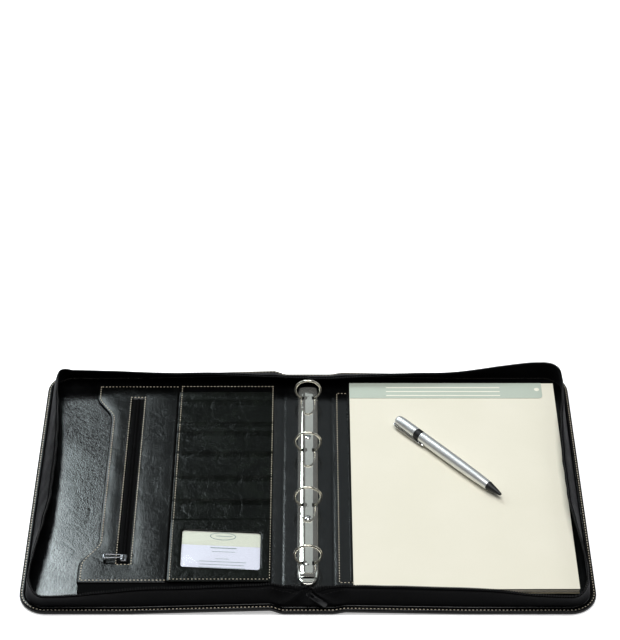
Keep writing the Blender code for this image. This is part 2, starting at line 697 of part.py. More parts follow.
def pen(paint):
    """Make the pen: upper barrel with clip, band, lower barrel and tip."""
    length, place = pen_frame()
    band_start = PEN_BAND_START * length
    band_end = PEN_BAND_END * length
    tip_start = PEN_TIP_START * length
    radius = PEN_RADIUS
    upper = [(along * radius, out * radius) for along, out in PEN_TOP_PROFILE]
    upper += [(band_start - GAP, radius)]
    turned("pen_upper_barrel", upper, place, paint["satin_silver"])
    band = [(band_start, PEN_BAND_RADIUS), (band_end, PEN_BAND_RADIUS)]
    turned("pen_band", band, place, paint["black_plastic"])
    taper_start = PEN_TAPER_START * length
    barrel = [(band_end + GAP, radius), (taper_start, radius), (tip_start - GAP, PEN_END_RADIUS)]
    turned("pen_barrel", barrel, place, paint["satin_silver"])
    tip = [(along * length, out * radius) for along, out in PEN_TIP_PROFILE]
    turned("pen_tip", tip, place, paint["black_plastic"])
    clip(place, paint)
    for name in ("pen_upper_barrel", "pen_band", "pen_barrel", "pen_tip"):
        set_origin(bpy.data.objects[name], place.translation)


def clip(place, paint):
    """Make the pen's clip, which stands off the upper barrel on its near side."""
    near = PEN_RADIUS + GAP
    far = near + CLIP_STANDOFF + CLIP_THICKNESS
    inner = near + CLIP_STANDOFF
    profile = [
        (CLIP_START, near), (CLIP_START, far), (CLIP_LENGTH, far), (CLIP_LENGTH, near),
        (CLIP_LENGTH - CLIP_THICKNESS, near), (CLIP_LENGTH - CLIP_THICKNESS, inner),
        (CLIP_START + CLIP_FOOT, inner), (CLIP_START + CLIP_FOOT, near),
    ]
    points = []
    roll = Matrix.Rotation(math.pi - CLIP_ROLL, 4, "Z")
    for across in (-0.5 * CLIP_WIDTH, 0.5 * CLIP_WIDTH):
        for along, out in profile:
            points.append(place @ roll @ Vector((out, across, along)))
    count = len(profile)
    faces = [list(range(count)), list(range(count, 2 * count))]
    for i in range(count):
        j = (i + 1) % count
        faces.append([i, j, count + j, count + i])
    item = add_object("pen_clip", mesh_from("pen_clip", points, faces), paint["chrome"])
    set_origin(item, place.translation)


def main_zip(paint):
    """Make the main zip's slider on the lower spine gusset, and the pull that hangs from it."""
    up = Vector((0.0, math.sin(TILT_HINGE), math.cos(TILT_HINGE)))
    out = Vector((0.0, -math.cos(TILT_HINGE), math.sin(TILT_HINGE)))
    width, depth, height = MAIN_SLIDER_SIZE
    foot = Vector((0.0, GUSSET_INSET - HALF_WIDTH, FLOOR_Z))
    centre = foot + up * MAIN_SLIDER_SLANT + out * (0.5 * depth + GAP)
    box("main_zip_slider", centre, (Vector((1.0, 0.0, 0.0)), out, up), (width, depth, height), paint)
    pivot = centre + out * (0.5 * depth + GAP + MAIN_PULL_THICKNESS)
    fall = Vector((math.sin(MAIN_PULL_SWING), 0.0, 0.0)) - up * math.cos(MAIN_PULL_SWING)
    across = fall.cross(out)
    size = (MAIN_PULL_LENGTH, MAIN_PULL_WIDTH, MAIN_PULL_THICKNESS)
    middle = pivot + fall * (0.5 * MAIN_PULL_LENGTH - MAIN_PULL_THICKNESS)
    pull = box("main_zip_pull", middle, (fall, across, out), size, paint)
    set_origin(pull, pivot)


def box(name, centre, axes, size, paint):
    """Make a chrome block from its centre, its three directions and its size along them."""
    points = []
    for i in (-0.5, 0.5):
        for j in (-0.5, 0.5):
            for k in (-0.5, 0.5):
                shift = axes[0] * (i * size[0]) + axes[1] * (j * size[1]) + axes[2] * (k * size[2])
                points.append(centre + shift)
    faces = [[0, 1, 3, 2], [4, 6, 7, 5], [0, 4, 5, 1], [2, 3, 7, 6], [0, 2, 6, 4], [1, 5, 7, 3]]
    return add_object(name, mesh_from(name, points, faces), paint["chrome"])


def front_cover(paint):
    """Make the front cover, at -X, with its two outer panels."""
    start = HINGE_X + LEATHER_CLEARANCE
    tray("front_leather", -1, start, FORE_SEAM_X - GAP, paint["black_leather"])
    tray("front_edge_leather", -1, FORE_SEAM_X, HALF_LENGTH, paint["black_leather"])
    cover_layers("front", -1, paint)
    cover_gusset("front", -1, paint)
    organiser(paint)


def back_cover(paint):
    """Make the back cover, at +X, with the pad on it."""
    tray("back_leather", 1, HINGE_X + LEATHER_CLEARANCE, HALF_LENGTH, paint["black_leather"])
    cover_layers("back", 1, paint)
    cover_gusset("back", 1, paint)
    pad(paint)


def spine(paint):
    """Make the spine, the ring mechanism on it and the gussets at its ends."""
    spine_shell(paint)
    spine_gusset("spine_gusset_top", 1, paint)
    spine_gusset("spine_gusset_bottom", -1, paint)
    ring_housing(paint)
    rivets(paint)
    ring_blades(paint)
    ring_trigger(paint)
    main_zip(paint)


def main():
    clear_scene()
    paint = make_materials()
    spine(paint)
    front_cover(paint)
    back_cover(paint)
    pen(paint)


main()
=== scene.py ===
import math
import random

import bmesh
import bpy
from mathutils import Matrix, Vector, noise


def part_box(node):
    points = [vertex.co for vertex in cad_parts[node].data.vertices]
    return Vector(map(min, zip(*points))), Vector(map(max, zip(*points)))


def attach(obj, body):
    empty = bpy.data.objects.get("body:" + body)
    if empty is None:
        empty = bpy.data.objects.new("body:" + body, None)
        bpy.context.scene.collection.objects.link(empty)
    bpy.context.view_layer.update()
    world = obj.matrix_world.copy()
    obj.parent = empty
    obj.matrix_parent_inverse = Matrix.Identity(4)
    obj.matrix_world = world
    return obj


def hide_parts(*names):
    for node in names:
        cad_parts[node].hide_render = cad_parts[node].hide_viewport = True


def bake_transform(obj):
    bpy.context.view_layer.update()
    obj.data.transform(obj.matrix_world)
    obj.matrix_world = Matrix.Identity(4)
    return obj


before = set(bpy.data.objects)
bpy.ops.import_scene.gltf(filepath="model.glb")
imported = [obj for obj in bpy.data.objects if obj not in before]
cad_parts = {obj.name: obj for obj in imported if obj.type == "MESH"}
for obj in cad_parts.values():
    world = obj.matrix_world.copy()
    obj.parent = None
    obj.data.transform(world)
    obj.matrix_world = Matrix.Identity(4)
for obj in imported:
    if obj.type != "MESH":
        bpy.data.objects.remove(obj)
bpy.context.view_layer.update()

MM = 0.001
UP = (0.0, 0.0, 1.0)
EDGE_STEPS = [0.0, 0.2 * MM, 0.6 * MM, 1.2 * MM, 2.4 * MM]

# Case outline and layers
HALF_LENGTH = 268.5 * MM
HALF_WIDTH = 171.5 * MM
CORNER_RADIUS = 26.0 * MM
RIM_TOP = 4.6 * MM
FLOOR_Z = 4.9 * MM
GUSSET_INSET = 6.5 * MM
HINGE_BLEND = (22.0 * MM, 38.0 * MM)
GUSSET_BLEND = (4.0 * MM, 56.0 * MM)
SIDES = {"front": -1, "back": 1}


# ---------------------------------------------------------------- materials

class Paint:
    """A Principled material and short ways to add nodes to it."""

    def __init__(self, name, colour, roughness, metallic=0.0, coords="Object", **sockets):
        self.material = bpy.data.materials.new(name)
        self.material.use_nodes = True
        self.tree = self.material.node_tree
        self.shader = self.tree.nodes["Principled BSDF"]
        self.set(self.shader, {"Base Color": (*colour, 1.0), "Roughness": roughness,
                               "Metallic": metallic})
        self.set(self.shader, {key.replace("_", " "): value for key, value in sockets.items()})
        self.place = self.add("ShaderNodeTexCoord").outputs[coords]
        self.heights = []

    @staticmethod
    def set(node, values):
        """Set the default values of a node's sockets."""
        for key, value in values.items():
            node.inputs[key].default_value = value

    def add(self, kind, links=None, values=None, **settings):
        """Add a node, link its sockets and set the others."""
        node = self.tree.nodes.new(kind)
        for key, value in settings.items():
            setattr(node, key, value)
        self.set(node, values or {})
        for key, source in (links or {}).items():
            self.tree.links.new(source, node.inputs[key])
        return node

    def noise(self, scale, detail=4.0, rough=0.55, place=None):
        """A noise between 0 and 1."""
        node = self.add("ShaderNodeTexNoise", {"Vector": place or self.place},
                        {"Scale": scale, "Detail": detail, "Roughness": rough})
        return node.outputs["Fac"]

    def warped(self, scale, amount):
        """The coordinates pushed about by a noise."""
        push = self.add("ShaderNodeTexNoise", {"Vector": self.place}, {"Scale": scale, "Detail": 3.0})
        centred = self.add("ShaderNodeVectorMath", {0: push.outputs["Color"]}, {1: (0.5, 0.5, 0.5)},
                           operation="SUBTRACT")
        sized = self.add("ShaderNodeVectorMath", {0: centred.outputs[0]}, {"Scale": amount},
                         operation="SCALE")
        return self.add("ShaderNodeVectorMath", {0: self.place, 1: sized.outputs[0]},
                        operation="ADD").outputs[0]

    def cells(self, scale, place=None, feature="DISTANCE_TO_EDGE"):
        """The distance to the edge of the nearest cell."""
        node = self.add("ShaderNodeTexVoronoi", {"Vector": place or self.place}, {"Scale": scale},
                        feature=feature)
        return node.outputs["Distance"]

    def ridges(self, scale, width, place):
        """Thin branching valleys where a noise crosses its middle value, 1 away from them."""
        level = self.maths("ABSOLUTE", self.maths("SUBTRACT", self.noise(scale, 3.0, 0.5, place),
                                                  0.5), 0.0)
        return self.remap(level, 0.0, 0.5 * width)

    def remap(self, value, low, high, new_low=0.0, new_high=1.0):
        """Stretch low..high to new_low..new_high."""
        node = self.add("ShaderNodeMapRange", {"Value": value},
                        {"From Min": low, "From Max": high, "To Min": new_low, "To Max": new_high})
        return node.outputs["Result"]

    def maths(self, operation, first, second):
        """One sum on two sockets or numbers."""
        node = self.add("ShaderNodeMath", operation=operation)
        for index, value in enumerate((first, second)):
            if isinstance(value, (int, float)):
                node.inputs[index].default_value = value
            else:
                self.tree.links.new(value, node.inputs[index])
        return node.outputs[0]

    def blend(self, factor, first, second):
        """A colour that goes from first to second with the factor."""
        node = self.add("ShaderNodeMix", {"Factor": factor}, data_type="RGBA")
        node.inputs["A"].default_value = (*first, 1.0)
        node.inputs["B"].default_value = (*second, 1.0)
        return node.outputs["Result"]

    def colour(self, source):
        """Drive the base colour."""
        self.tree.links.new(source, self.shader.inputs["Base Color"])

    def rough(self, source):
        """Drive the roughness."""
        self.tree.links.new(source, self.shader.inputs["Roughness"])

    def bump(self, height, strength, distance):
        """Stack one more bump on top of those before it."""
        node = self.add("ShaderNodeBump", {"Height": height},
                        {"Strength": strength, "Distance": distance})
        if self.heights:
            self.tree.links.new(self.heights[-1], node.inputs["Normal"])
        self.heights.append(node.outputs["Normal"])
        self.tree.links.new(node.outputs["Normal"], self.shader.inputs["Normal"])


def leather(name, coords, dark=(0.0025, 0.0025, 0.0028), light=(0.010, 0.0098, 0.0098), low=0.13,
            high=0.27,
            crease=0.5, gloss=0.5):
    """Glazed, crinkled black hide with random mottling, lightened between its creases as a painted highlight
    and left darker along the crease lines as painted shade.
    """
    paint = Paint(name, dark, low, coords=coords, Coat_Weight=0.4 * gloss, Coat_Roughness=0.14,
                  Specular_IOR_Level=gloss)
    folds = paint.ridges(26.0, 0.10, paint.warped(18.0, 0.02))
    veins_and_crease_shade = paint.ridges(85.0, 0.16, paint.warped(60.0, 0.008))
    crackle = paint.remap(paint.cells(330.0, paint.warped(200.0, 0.004)), 0.0, 0.20)
    grain = paint.remap(paint.cells(820.0), 0.0, 0.30)
    mottle = paint.remap(paint.noise(48.0, 7.0, 0.66), 0.40, 0.64)
    patches = paint.remap(paint.noise(9.0, 3.0), 0.35, 0.65)
    # Painted highlight and shade: the colour is random mottling times the crease mask, so it is lighter away
    # from the vein creases and dark along them.
    paint.colour(paint.blend(paint.maths("MULTIPLY", mottle, veins_and_crease_shade), dark, light))
    worn = paint.maths("ADD", paint.maths("MULTIPLY", mottle, 0.6), paint.maths("MULTIPLY", patches, 0.4))
    paint.rough(paint.remap(worn, 0.0, 1.0, low, high))
    paint.bump(paint.noise(30.0, 2.0), 0.5 * crease, 0.0016)
    paint.bump(folds, crease, 0.0003)
    paint.bump(veins_and_crease_shade, 0.8 * crease, 0.00015)
    paint.bump(crackle, 0.35, 0.00009)
    paint.bump(grain, 0.30, 0.00005)
    return paint.material


def weave(name, colour, pale, coords, pitch=0.0011, roughness=0.75, **sockets):
    """Plain-woven cloth: two crossed sets of threads with a little slub."""
    paint = Paint(name, colour, roughness, coords=coords, **sockets)
    rate = 1.0 / pitch
    threads = []
    for direction in ("X", "Y"):
        node = paint.add("ShaderNodeTexWave", {"Vector": paint.place},
                         {"Scale": rate / 3.18, "Distortion": 0.25, "Detail": 1.0},
                         bands_direction=direction)
        threads.append(node.outputs["Fac"])
    cloth = paint.maths("MULTIPLY", threads[0], threads[1])
    slub = paint.remap(paint.noise(55.0, 5.0), 0.35, 0.65)
    paint.colour(paint.blend(paint.maths("MULTIPLY", paint.maths("ADD", cloth, 0.35), slub), colour,
                             pale))
    paint.rough(paint.remap(slub, 0.0, 1.0, roughness - 0.08, roughness + 0.08))
    paint.bump(paint.noise(40.0, 3.0), 0.5, 0.0009)
    paint.bump(cloth, 0.6, 0.0002)
    return paint.material


def metal(name, colour, roughness, scratch=0.04, speckle=900.0, metallic=1.0):
    """Polished or satin metal with faint wear."""
    paint = Paint(name, colour, roughness, metallic)
    wear = paint.noise(60.0, 6.0, 0.7)
    paint.rough(paint.remap(wear, 0.3, 0.7, roughness, roughness + scratch))
    paint.colour(paint.blend(paint.remap(wear, 0.3, 0.8), colour, tuple(0.86 * c for c in colour)))
    paint.bump(paint.noise(speckle, 3.0), 0.10, 0.00003)
    return paint.material


def paper(name, colour, shade, roughness=0.62, fibre=1400.0):
    """Paper or board: soft clouds and fine fibres."""
    paint = Paint(name, colour, roughness, coords="Object", Specular_IOR_Level=0.3)
    clouds = paint.remap(paint.noise(14.0, 4.0), 0.35, 0.65)
    fibres = paint.remap(paint.noise(fibre, 4.0, 0.7), 0.3, 0.7)
    mixed = paint.maths("ADD", paint.maths("MULTIPLY", clouds, 0.5), paint.maths("MULTIPLY", fibres, 0.5))
    paint.colour(paint.blend(mixed, colour, shade))
    paint.rough(paint.remap(fibres, 0.0, 1.0, roughness - 0.05, roughness + 0.06))
    paint.bump(fibres, 0.18, 0.00004)
    return paint.material


def moulded(name, colour, roughness, **sockets):
    """Moulded plastic or painted metal with a faint orange peel."""
    paint = Paint(name, colour, roughness, **sockets)
    peel = paint.noise(520.0, 3.0)
    paint.rough(paint.remap(paint.noise(45.0, 5.0), 0.3, 0.7, roughness - 0.05, roughness + 0.1))
    paint.colour(paint.blend(paint.remap(paint.noise(90.0, 4.0), 0.3, 0.7), colour,
                             tuple(1.6 * c for c in colour)))
    paint.bump(peel, 0.25, 0.00006)
    return paint.material


def page_edges(name):
    """The side of a stack of sheets: fine level lines."""
    paint = Paint(name, (0.88, 0.83, 0.72), 0.7, coords="Object")
    layers = paint.add("ShaderNodeTexWave", {"Vector": paint.place}, {"Scale": 900.0, "Distortion": 0.6},
                       bands_direction="Z").outputs["Fac"]
    paint.colour(paint.blend(layers, (0.88, 0.83, 0.72), (0.62, 0.57, 0.48)))
    paint.bump(layers, 0.6, 0.0001)
    return paint.material


def clear_film(name):
    """Thin clear plastic, a little rippled."""
    paint = Paint(name, (0.96, 0.97, 1.0), 0.08, coords="Object", Alpha=0.10, IOR=1.45)
    paint.rough(paint.remap(paint.noise(30.0, 4.0), 0.3, 0.7, 0.05, 0.16))
    paint.bump(paint.noise(45.0, 2.0), 0.2, 0.0004)
    return paint.material


PAINTS = {
    "shell": leather("cover_leather", "UV", crease=0.3, gloss=0.24),
    "lining": leather("lining_leather", "UV", (0.0025, 0.0027, 0.0029), (0.006, 0.0065, 0.0068), 0.15,
                      0.24, 0.13, 0.62),
    "panel": leather("panel_leather", "Object", (0.0025, 0.0028, 0.0027), (0.007, 0.0077, 0.0073),
                     0.19, 0.30, 0.26, 0.30),
    "slots": leather("slot_leather", "Object", (0.0022, 0.0030, 0.0020), (0.0055, 0.0080, 0.0048),
                     0.18, 0.30, 0.40, 0.17),
    "gusset": weave("gusset_cloth", (0.0016, 0.0016, 0.0018), (0.0062, 0.0062, 0.0069), "UV", 0.0013,
                    0.60,
                    Specular_IOR_Level=0.06, Sheen_Weight=0.10, Sheen_Roughness=0.45,
                    Sheen_Tint=(0.62, 0.62, 0.68, 1.0)),
    "backing": weave("backing_cloth", (0.0010, 0.0010, 0.0011), (0.004, 0.004, 0.0044), "Object",
                     0.0013, 0.65,
                     Specular_IOR_Level=0.05),
    "tape": weave("zip_tape_cloth", (0.0012, 0.0012, 0.0013), (0.006, 0.006, 0.0066), "Object",
                  0.0008, 0.60,
                  Specular_IOR_Level=0.08),
    "coil": moulded("zip_coil", (0.003, 0.003, 0.0033), 0.38, Specular_IOR_Level=0.22),
    "gunmetal": metal("gunmetal", (0.20, 0.20, 0.21), 0.24, 0.08),
    "nickel": metal("bright_nickel", (0.76, 0.75, 0.70), 0.035, 0.03, metallic=0.80),
    "wire": metal("plated_wire", (0.74, 0.71, 0.62), 0.14, 0.05, metallic=0.8),
    "black": moulded("black_enamel", (0.010, 0.010, 0.011), 0.26),
    "rubber": moulded("black_moulding", (0.014, 0.014, 0.015), 0.40),
    "chrome": metal("bright_chrome", (0.90, 0.90, 0.91), 0.06),
    "silver": metal("satin_aluminium", (0.86, 0.87, 0.87), 0.32, 0.08, metallic=0.72),
    "pages": paper("cream_pages", (0.80, 0.762, 0.66), (0.765, 0.73, 0.62)),
    "edges": page_edges("page_edges"),
    "board": paper("pad_board", (0.62, 0.56, 0.42), (0.50, 0.45, 0.33), 0.8, 500.0),
    "band": paper("header_sage", (0.54, 0.59, 0.52), (0.50, 0.55, 0.48), 0.5),
    "rule": paper("header_rule", (0.87, 0.85, 0.74), (0.83, 0.81, 0.70), 0.5),
    "card": paper("card_white", (0.73, 0.74, 0.83), (0.69, 0.70, 0.79), 0.45),
    "card_band": paper("card_cream", (0.68, 0.70, 0.58), (0.64, 0.66, 0.54), 0.45),
    "ink": paper("card_ink", (0.22, 0.30, 0.28), (0.17, 0.24, 0.23), 0.5),
    "film": clear_film("window_film"),
    "thread": weave("thread_tan", (0.60, 0.53, 0.41), (0.86, 0.79, 0.66), "Object", 0.0006, 0.6),
}


# ---------------------------------------------------------------- mesh tools

def end_lift(x, y):
    """How far a cover's ends stand off the table beside the spine."""
    across = abs(x)
    peak, reach = (4.6 * MM, 130.0 * MM) if x < 0.0 else (2.4 * MM, 110.0 * MM)
    rise = ease((across - 22.0 * MM) / (14.0 * MM)) * max(0.0, 1.0 - max(0.0, across - 36.0 * MM) / reach)
    return peak * rise * ease((abs(y) - 149.0 * MM) / (17.0 * MM))


def make(name, points, faces, paint, where, replaces=(), uv=None, sharp=40.0, smooth=True):
    """Make one closed mesh piece. where is a body's name, or (first body, second body, start x, end x), whose
    bodies and start and end x are not used.
    """
    if not isinstance(where, str):
        points = [(p[0], p[1], p[2] + end_lift(p[0], p[1])) for p in points]
    mesh = bpy.data.meshes.new(name)
    mesh.from_pydata([tuple(p) for p in points], [], [list(f) for f in faces])
    work = bmesh.new()
    work.from_mesh(mesh)
    bmesh.ops.recalc_face_normals(work, faces=work.faces[:])
    work.to_mesh(mesh)
    work.free()
    layer = mesh.uv_layers.new(name="uv")
    flat = uv or [(p[0], p[1]) for p in points]
    for loop in mesh.loops:
        layer.data[loop.index].uv = flat[loop.vertex_index]
    for polygon in mesh.polygons:
        polygon.use_smooth = smooth
    if smooth:
        mesh.set_sharp_from_angle(angle=math.radians(sharp))
    mesh.materials.append(PAINTS[paint])
    item = bpy.data.objects.new(name, mesh)
    bpy.context.collection.objects.link(item)
    if isinstance(where, str):
        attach(item, where)
    else:
        first, second, start, end = where
        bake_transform(item)
    if replaces:
        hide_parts(*replaces)
    return item


def ramp(low, high, steps):
    """Evenly spaced values from low to high."""
    return [low + (high - low) * i / steps for i in range(steps + 1)]


def ease(share):
    """A share from 0 to 1 with soft ends."""
    share = min(1.0, max(0.0, share))
    return share * share * (3.0 - 2.0 * share)


def rounded(left, right, bottom, top, radius, steps=6):
    """A rounded rectangle, anticlockwise from its lower right corner."""
    corners = [(right - radius, bottom + radius, 270), (right - radius, top - radius, 0),
               (left + radius, top - radius, 90), (left + radius, bottom + radius, 180)]
    points = []
    for x, y, start in corners:
        for i in range(steps + 1):
            turn = math.radians(start + 90.0 * i / steps)
            points.append((x + radius * math.cos(turn), y + radius * math.sin(turn)))
    return points


def loft(loops, closed=False):
    """Points and faces of a body through loops of equal count, capped unless it closes on itself."""
    count = len(loops[0])
    points = [p for loop in loops for p in loop]
    faces = []
    last = len(loops) if closed else len(loops) - 1
    for k in range(last):
        a, b = k * count, ((k + 1) % len(loops)) * count
        for i in range(count):
            j = (i + 1) % count
            faces.append([a + i, a + j, b + j, b + i])
    if not closed:
        faces.append(list(range(count))[::-1])
        faces.append(list(range((len(loops) - 1) * count, len(loops) * count)))
    return points, faces


def merge(parts):
    """Join several (points, faces) into one."""
    points, faces = [], []
    for some_points, some_faces in parts:
        base = len(points)
        points.extend(some_points)
        faces.extend([[base + i for i in face] for face in some_faces])
    return points, faces


def slab(us, vs, top, bottom, hole=None):
    """Points and faces of a thick sheet over a grid, with walls round its edge and round its holes."""
    keep = set()
    for i in range(len(us) - 1):
        for j in range(len(vs) - 1):
            if not (hole and hole(0.5 * (us[i] + us[i + 1]), 0.5 * (vs[j] + vs[j + 1]))):
                keep.add((i, j))
    points, index, faces = [], {}, []

    def vertex(level, i, j):
        key = (level, i, j)
        if key not in index:
            index[key] = len(points)
            points.append((bottom, top)[level](us[i], vs[j]))
        return index[key]

    for i, j in sorted(keep):
        ring = [(i, j), (i + 1, j), (i + 1, j + 1), (i, j + 1)]
        faces.append([vertex(1, *c) for c in ring])
        faces.append([vertex(0, *c) for c in ring[::-1]])
        neighbours = [(i, j - 1), (i + 1, j), (i, j + 1), (i - 1, j)]
        for k, neighbour in enumerate(neighbours):
            if neighbour not in keep:
                a, b = ring[k], ring[(k + 1) % 4]
                faces.append([vertex(0, *a), vertex(0, *b), vertex(1, *b), vertex(1, *a)])
    return points, faces


def tube(path, radius, sides=12):
    """Points and faces of a round bar along a path, radius given as a number or one per point."""
    path = [Vector(p) for p in path]
    radii = radius if isinstance(radius, list) else [radius] * len(path)
    normal = None
    loops = []
    for k, point in enumerate(path):
        ahead = (path[min(k + 1, len(path) - 1)] - path[max(k - 1, 0)]).normalized()
        if normal is None:
            normal = ahead.orthogonal().normalized()
        normal = (normal - ahead * normal.dot(ahead)).normalized()
        other = ahead.cross(normal)
        loops.append([point + radii[k] * (normal * math.cos(t) + other * math.sin(t))
                      for t in (math.tau * i / sides for i in range(sides))])
    return loft(loops)


def plate(outline, low, high, edge, crown=0.0, place=None):
    """A flat plate with an eased upper and lower edge: outline is a function of inset."""
    loops = []
    for inset, z in ((edge, low), (0.3 * edge, low + 0.3 * edge), (0.0, low + edge), (0.0, high - edge),
                     (0.3 * edge, high - 0.3 * edge), (edge, high)):
        loops.append([(x, y, z) for x, y in outline(inset)])
    if crown:
        centre = Vector((sum(p[0] for p in loops[-1]), sum(p[1] for p in loops[-1]))) / len(loops[-1])
        for share in (0.75, 0.45, 0.15):
            rise = crown * math.cos(0.5 * math.pi * share)
            loops.append([(centre.x + (x - centre.x) * share, centre.y + (y - centre.y) * share,
                           high + rise)
                          for x, y, _ in loops[5]])
    if place:
        loops = [[place @ Vector(p) for p in loop] for loop in loops]
    return loft(loops)


def stitches(path, pitch=3.5 * MM, length=2.1 * MM, width=0.50 * MM, height=0.34 * MM, skip=0.0):
    """Points and faces of a row of stitches along a path of (point, outward normal)."""
    sides = 6
    points, faces = [], []
    travelled, wanted = 0.0, skip + 0.5 * pitch
    for (a, up_a), (b, up_b) in zip(path[:-1], path[1:]):
        a, b = Vector(a), Vector(b)
        step = (b - a).length
        while step > 0.0 and travelled + step >= wanted:
            share = (wanted - travelled) / step
            ahead = (b - a) / step
            up = (Vector(up_a).lerp(Vector(up_b), share)).normalized()
            up = (up - ahead * up.dot(ahead)).normalized()
            across = ahead.cross(up)
            centre = a + (b - a) * share + up * 0.12 * height
            base = len(points)
            points.append(centre - ahead * 0.5 * length - up * 0.6 * height)
            for along in (-0.30, 0.30):
                for i in range(sides):
                    turn = math.tau * i / sides
                    points.append(centre + ahead * along * length + across * width * math.cos(turn)
                                  + up * height * math.sin(turn))
            points.append(centre + ahead * 0.5 * length - up * 0.6 * height)
            for i in range(sides):
                j = (i + 1) % sides
                faces.append([base, base + 1 + i, base + 1 + j])
                faces.append([base + 1 + i, base + 1 + sides + i, base + 1 + sides + j, base + 1 + j])
                faces.append([base + 1 + sides + i, base + 1 + 2 * sides, base + 1 + sides + j])
            wanted += pitch
        travelled += step
    return points, faces


def waves(x, y, size, seed):
    """A smooth wobble between about -1 and 1."""
    return noise.noise(Vector((x / size, y / size, seed)))


def hinge(side, span):
    """The spine, one half's cover and a span between them, for a piece that lies across both; make lifts such
    a piece by end_lift and attaches it to neither body.
    """
    cover = "front_cover" if side < 0 else "back_cover"
    return ("spine", cover, side * span[0], side * span[1])


# ---------------------------------------------------------------- covers

ROWS = 30
ARC_STEPS = 9
COLUMNS = (ramp(0.0, 21.0 * MM, 5) + ramp(22.5 * MM, 39.0 * MM, 16) + ramp(43.0 * MM, 57.0 * MM, 3)
           + ramp(67.0 * MM, HALF_LENGTH - CORNER_RADIUS, 18))


def stations(side):
    """The edge of one half from spine top to spine foot: (point, outward normal, grid column, grid row)."""
    upper = [(Vector((x, HALF_WIDTH)), Vector((0.0, 1.0))) for x in COLUMNS]
    centre = Vector((HALF_LENGTH - CORNER_RADIUS, HALF_WIDTH - CORNER_RADIUS))
    for i in range(1, ARC_STEPS + 1):
        turn = math.radians(90.0 - 90.0 * i / ARC_STEPS)
        normal = Vector((math.cos(turn), math.sin(turn)))
        upper.append((centre + CORNER_RADIUS * normal, normal))
    last = len(upper) - 1
    found = [(p, n, i, 0) for i, (p, n) in enumerate(upper)]
    for j in range(1, ROWS):
        found.append((Vector((HALF_LENGTH, centre.y * (1.0 - 2.0 * j / ROWS))), Vector((1.0, 0.0)),
                      last, j))
    found += [(Vector((p.x, -p.y)), Vector((n.x, -n.y)), i, ROWS) for i,
              (p, n) in reversed(list(enumerate(upper)))]
    return [(Vector((side * p.x, p.y)), Vector((side * n.x, n.y)), i, j) for p, n, i, j in found]


def cover_plate(name, side, profile, inset, low, high, paint, replaces):
    """A closed plate over one half: two grids joined by a profile of (inset, z) swept round the edge."""
    around = stations(side)
    columns = max(i for _, _, i, _ in around) + 1
    grid = {}
    points, faces, uv = [], [], []

    def put(x, y, z, u=None, v=None):
        points.append((x, y, z))
        uv.append((x if u is None else u, y if v is None else v))
        return len(points) - 1

    tops = {i: p - n * inset for p, n, i, j in around if j == 0}
    for level, height in ((0, low), (1, high)):
        for i in range(columns):
            for j in range(ROWS + 1):
                x, y = tops[i].x, tops[i].y * (1.0 - 2.0 * j / ROWS)
                grid[level, i, j] = put(x, y, height(x, y))
        for i in range(columns - 1):
            for j in range(ROWS):
                faces.append([grid[level, i, j], grid[level, i + 1, j], grid[level, i + 1, j + 1],
                              grid[level, i, j + 1]])
    rings = [[grid[0, i, j] for _, _, i, j in around]]
    for depth, z in profile:
        ring = []
        for p, n, _, _ in around:
            place = p - n * depth
            out = place + n * z
            ring.append(put(place.x, place.y, z, out.x, out.y))
        rings.append(ring)
    rings.append([grid[1, i, j] for _, _, i, j in around])
    for lower, upper in zip(rings[:-1], rings[1:]):
        for k in range(len(around) - 1):
            faces.append([lower[k], lower[k + 1], upper[k + 1], upper[k]])
    for j in range(ROWS):
        faces.append([grid[0, 0, j], grid[0, 0, j + 1], grid[1, 0, j + 1], grid[1, 0, j]])
    faces.append([ring[0] for ring in rings])
    faces.append([ring[-1] for ring in rings])
    return make(name, points, faces, paint, hinge(side, HINGE_BLEND), replaces, uv, sharp=60.0)


LEATHER_PROFILE = [(7.0 * MM, 0.0), (5.6 * MM, 0.0), (5.0 * MM, 0.25 * MM), (4.4 * MM, 0.0),
                   (1.8 * MM, 0.0),
                   (0.7 * MM, 0.35 * MM), (0.1 * MM, 1.3 * MM), (0.0, 2.3 * MM), (0.15 * MM, 3.4 * MM),
                   (0.5 * MM, 4.2 * MM), (1.1 * MM, RIM_TOP), (1.7 * MM, RIM_TOP), (2.2 * MM, 4.4 * MM),
                   (2.8 * MM, RIM_TOP), (4.9 * MM, 4.5 * MM), (5.2 * MM, 4.1 * MM), (5.2 * MM, 1.2 * MM)]
LINING_PROFILE = [(5.5 * MM, 1.5 * MM), (5.5 * MM, 4.1 * MM), (5.9 * MM, 4.5 * MM)]
PLATE_INSET = 12.0 * MM


def lining_height(side):
    """The lining's surface: a groove beside the spine and a gentle wobble."""
    def height(x, y):
        across = abs(x)
        free = 1.0 if across > 216.0 * MM and side < 0 else 0.35
        groove = -0.32 * MM * math.exp(-((across - 24.5 * MM) / (1.6 * MM)) ** 2)
        ridge = 0.12 * MM * math.exp(-((across - 30.5 * MM) / (2.4 * MM)) ** 2)
        wobble = 0.34 * MM * waves(x, y, 42.0 * MM, 3.1) + 0.16 * MM * waves(x, y, 17.0 * MM, 8.3)
        return RIM_TOP - 0.12 * MM + groove + ridge + free * wobble
    return height


def underside(x, y):
    """The leather's underside, with the fold lines of the spine pressed in."""
    return 0.5 * MM * math.exp(-((abs(x) - 30.0 * MM) / (1.6 * MM)) ** 2)


def edge_path(side, inset, z, up):
    """The edge of one half at an inset, as a path of (point, normal)."""
    return [((p.x - n.x * inset, p.y - n.y * inset, z), up) for p, n, _, _ in stations(side)]


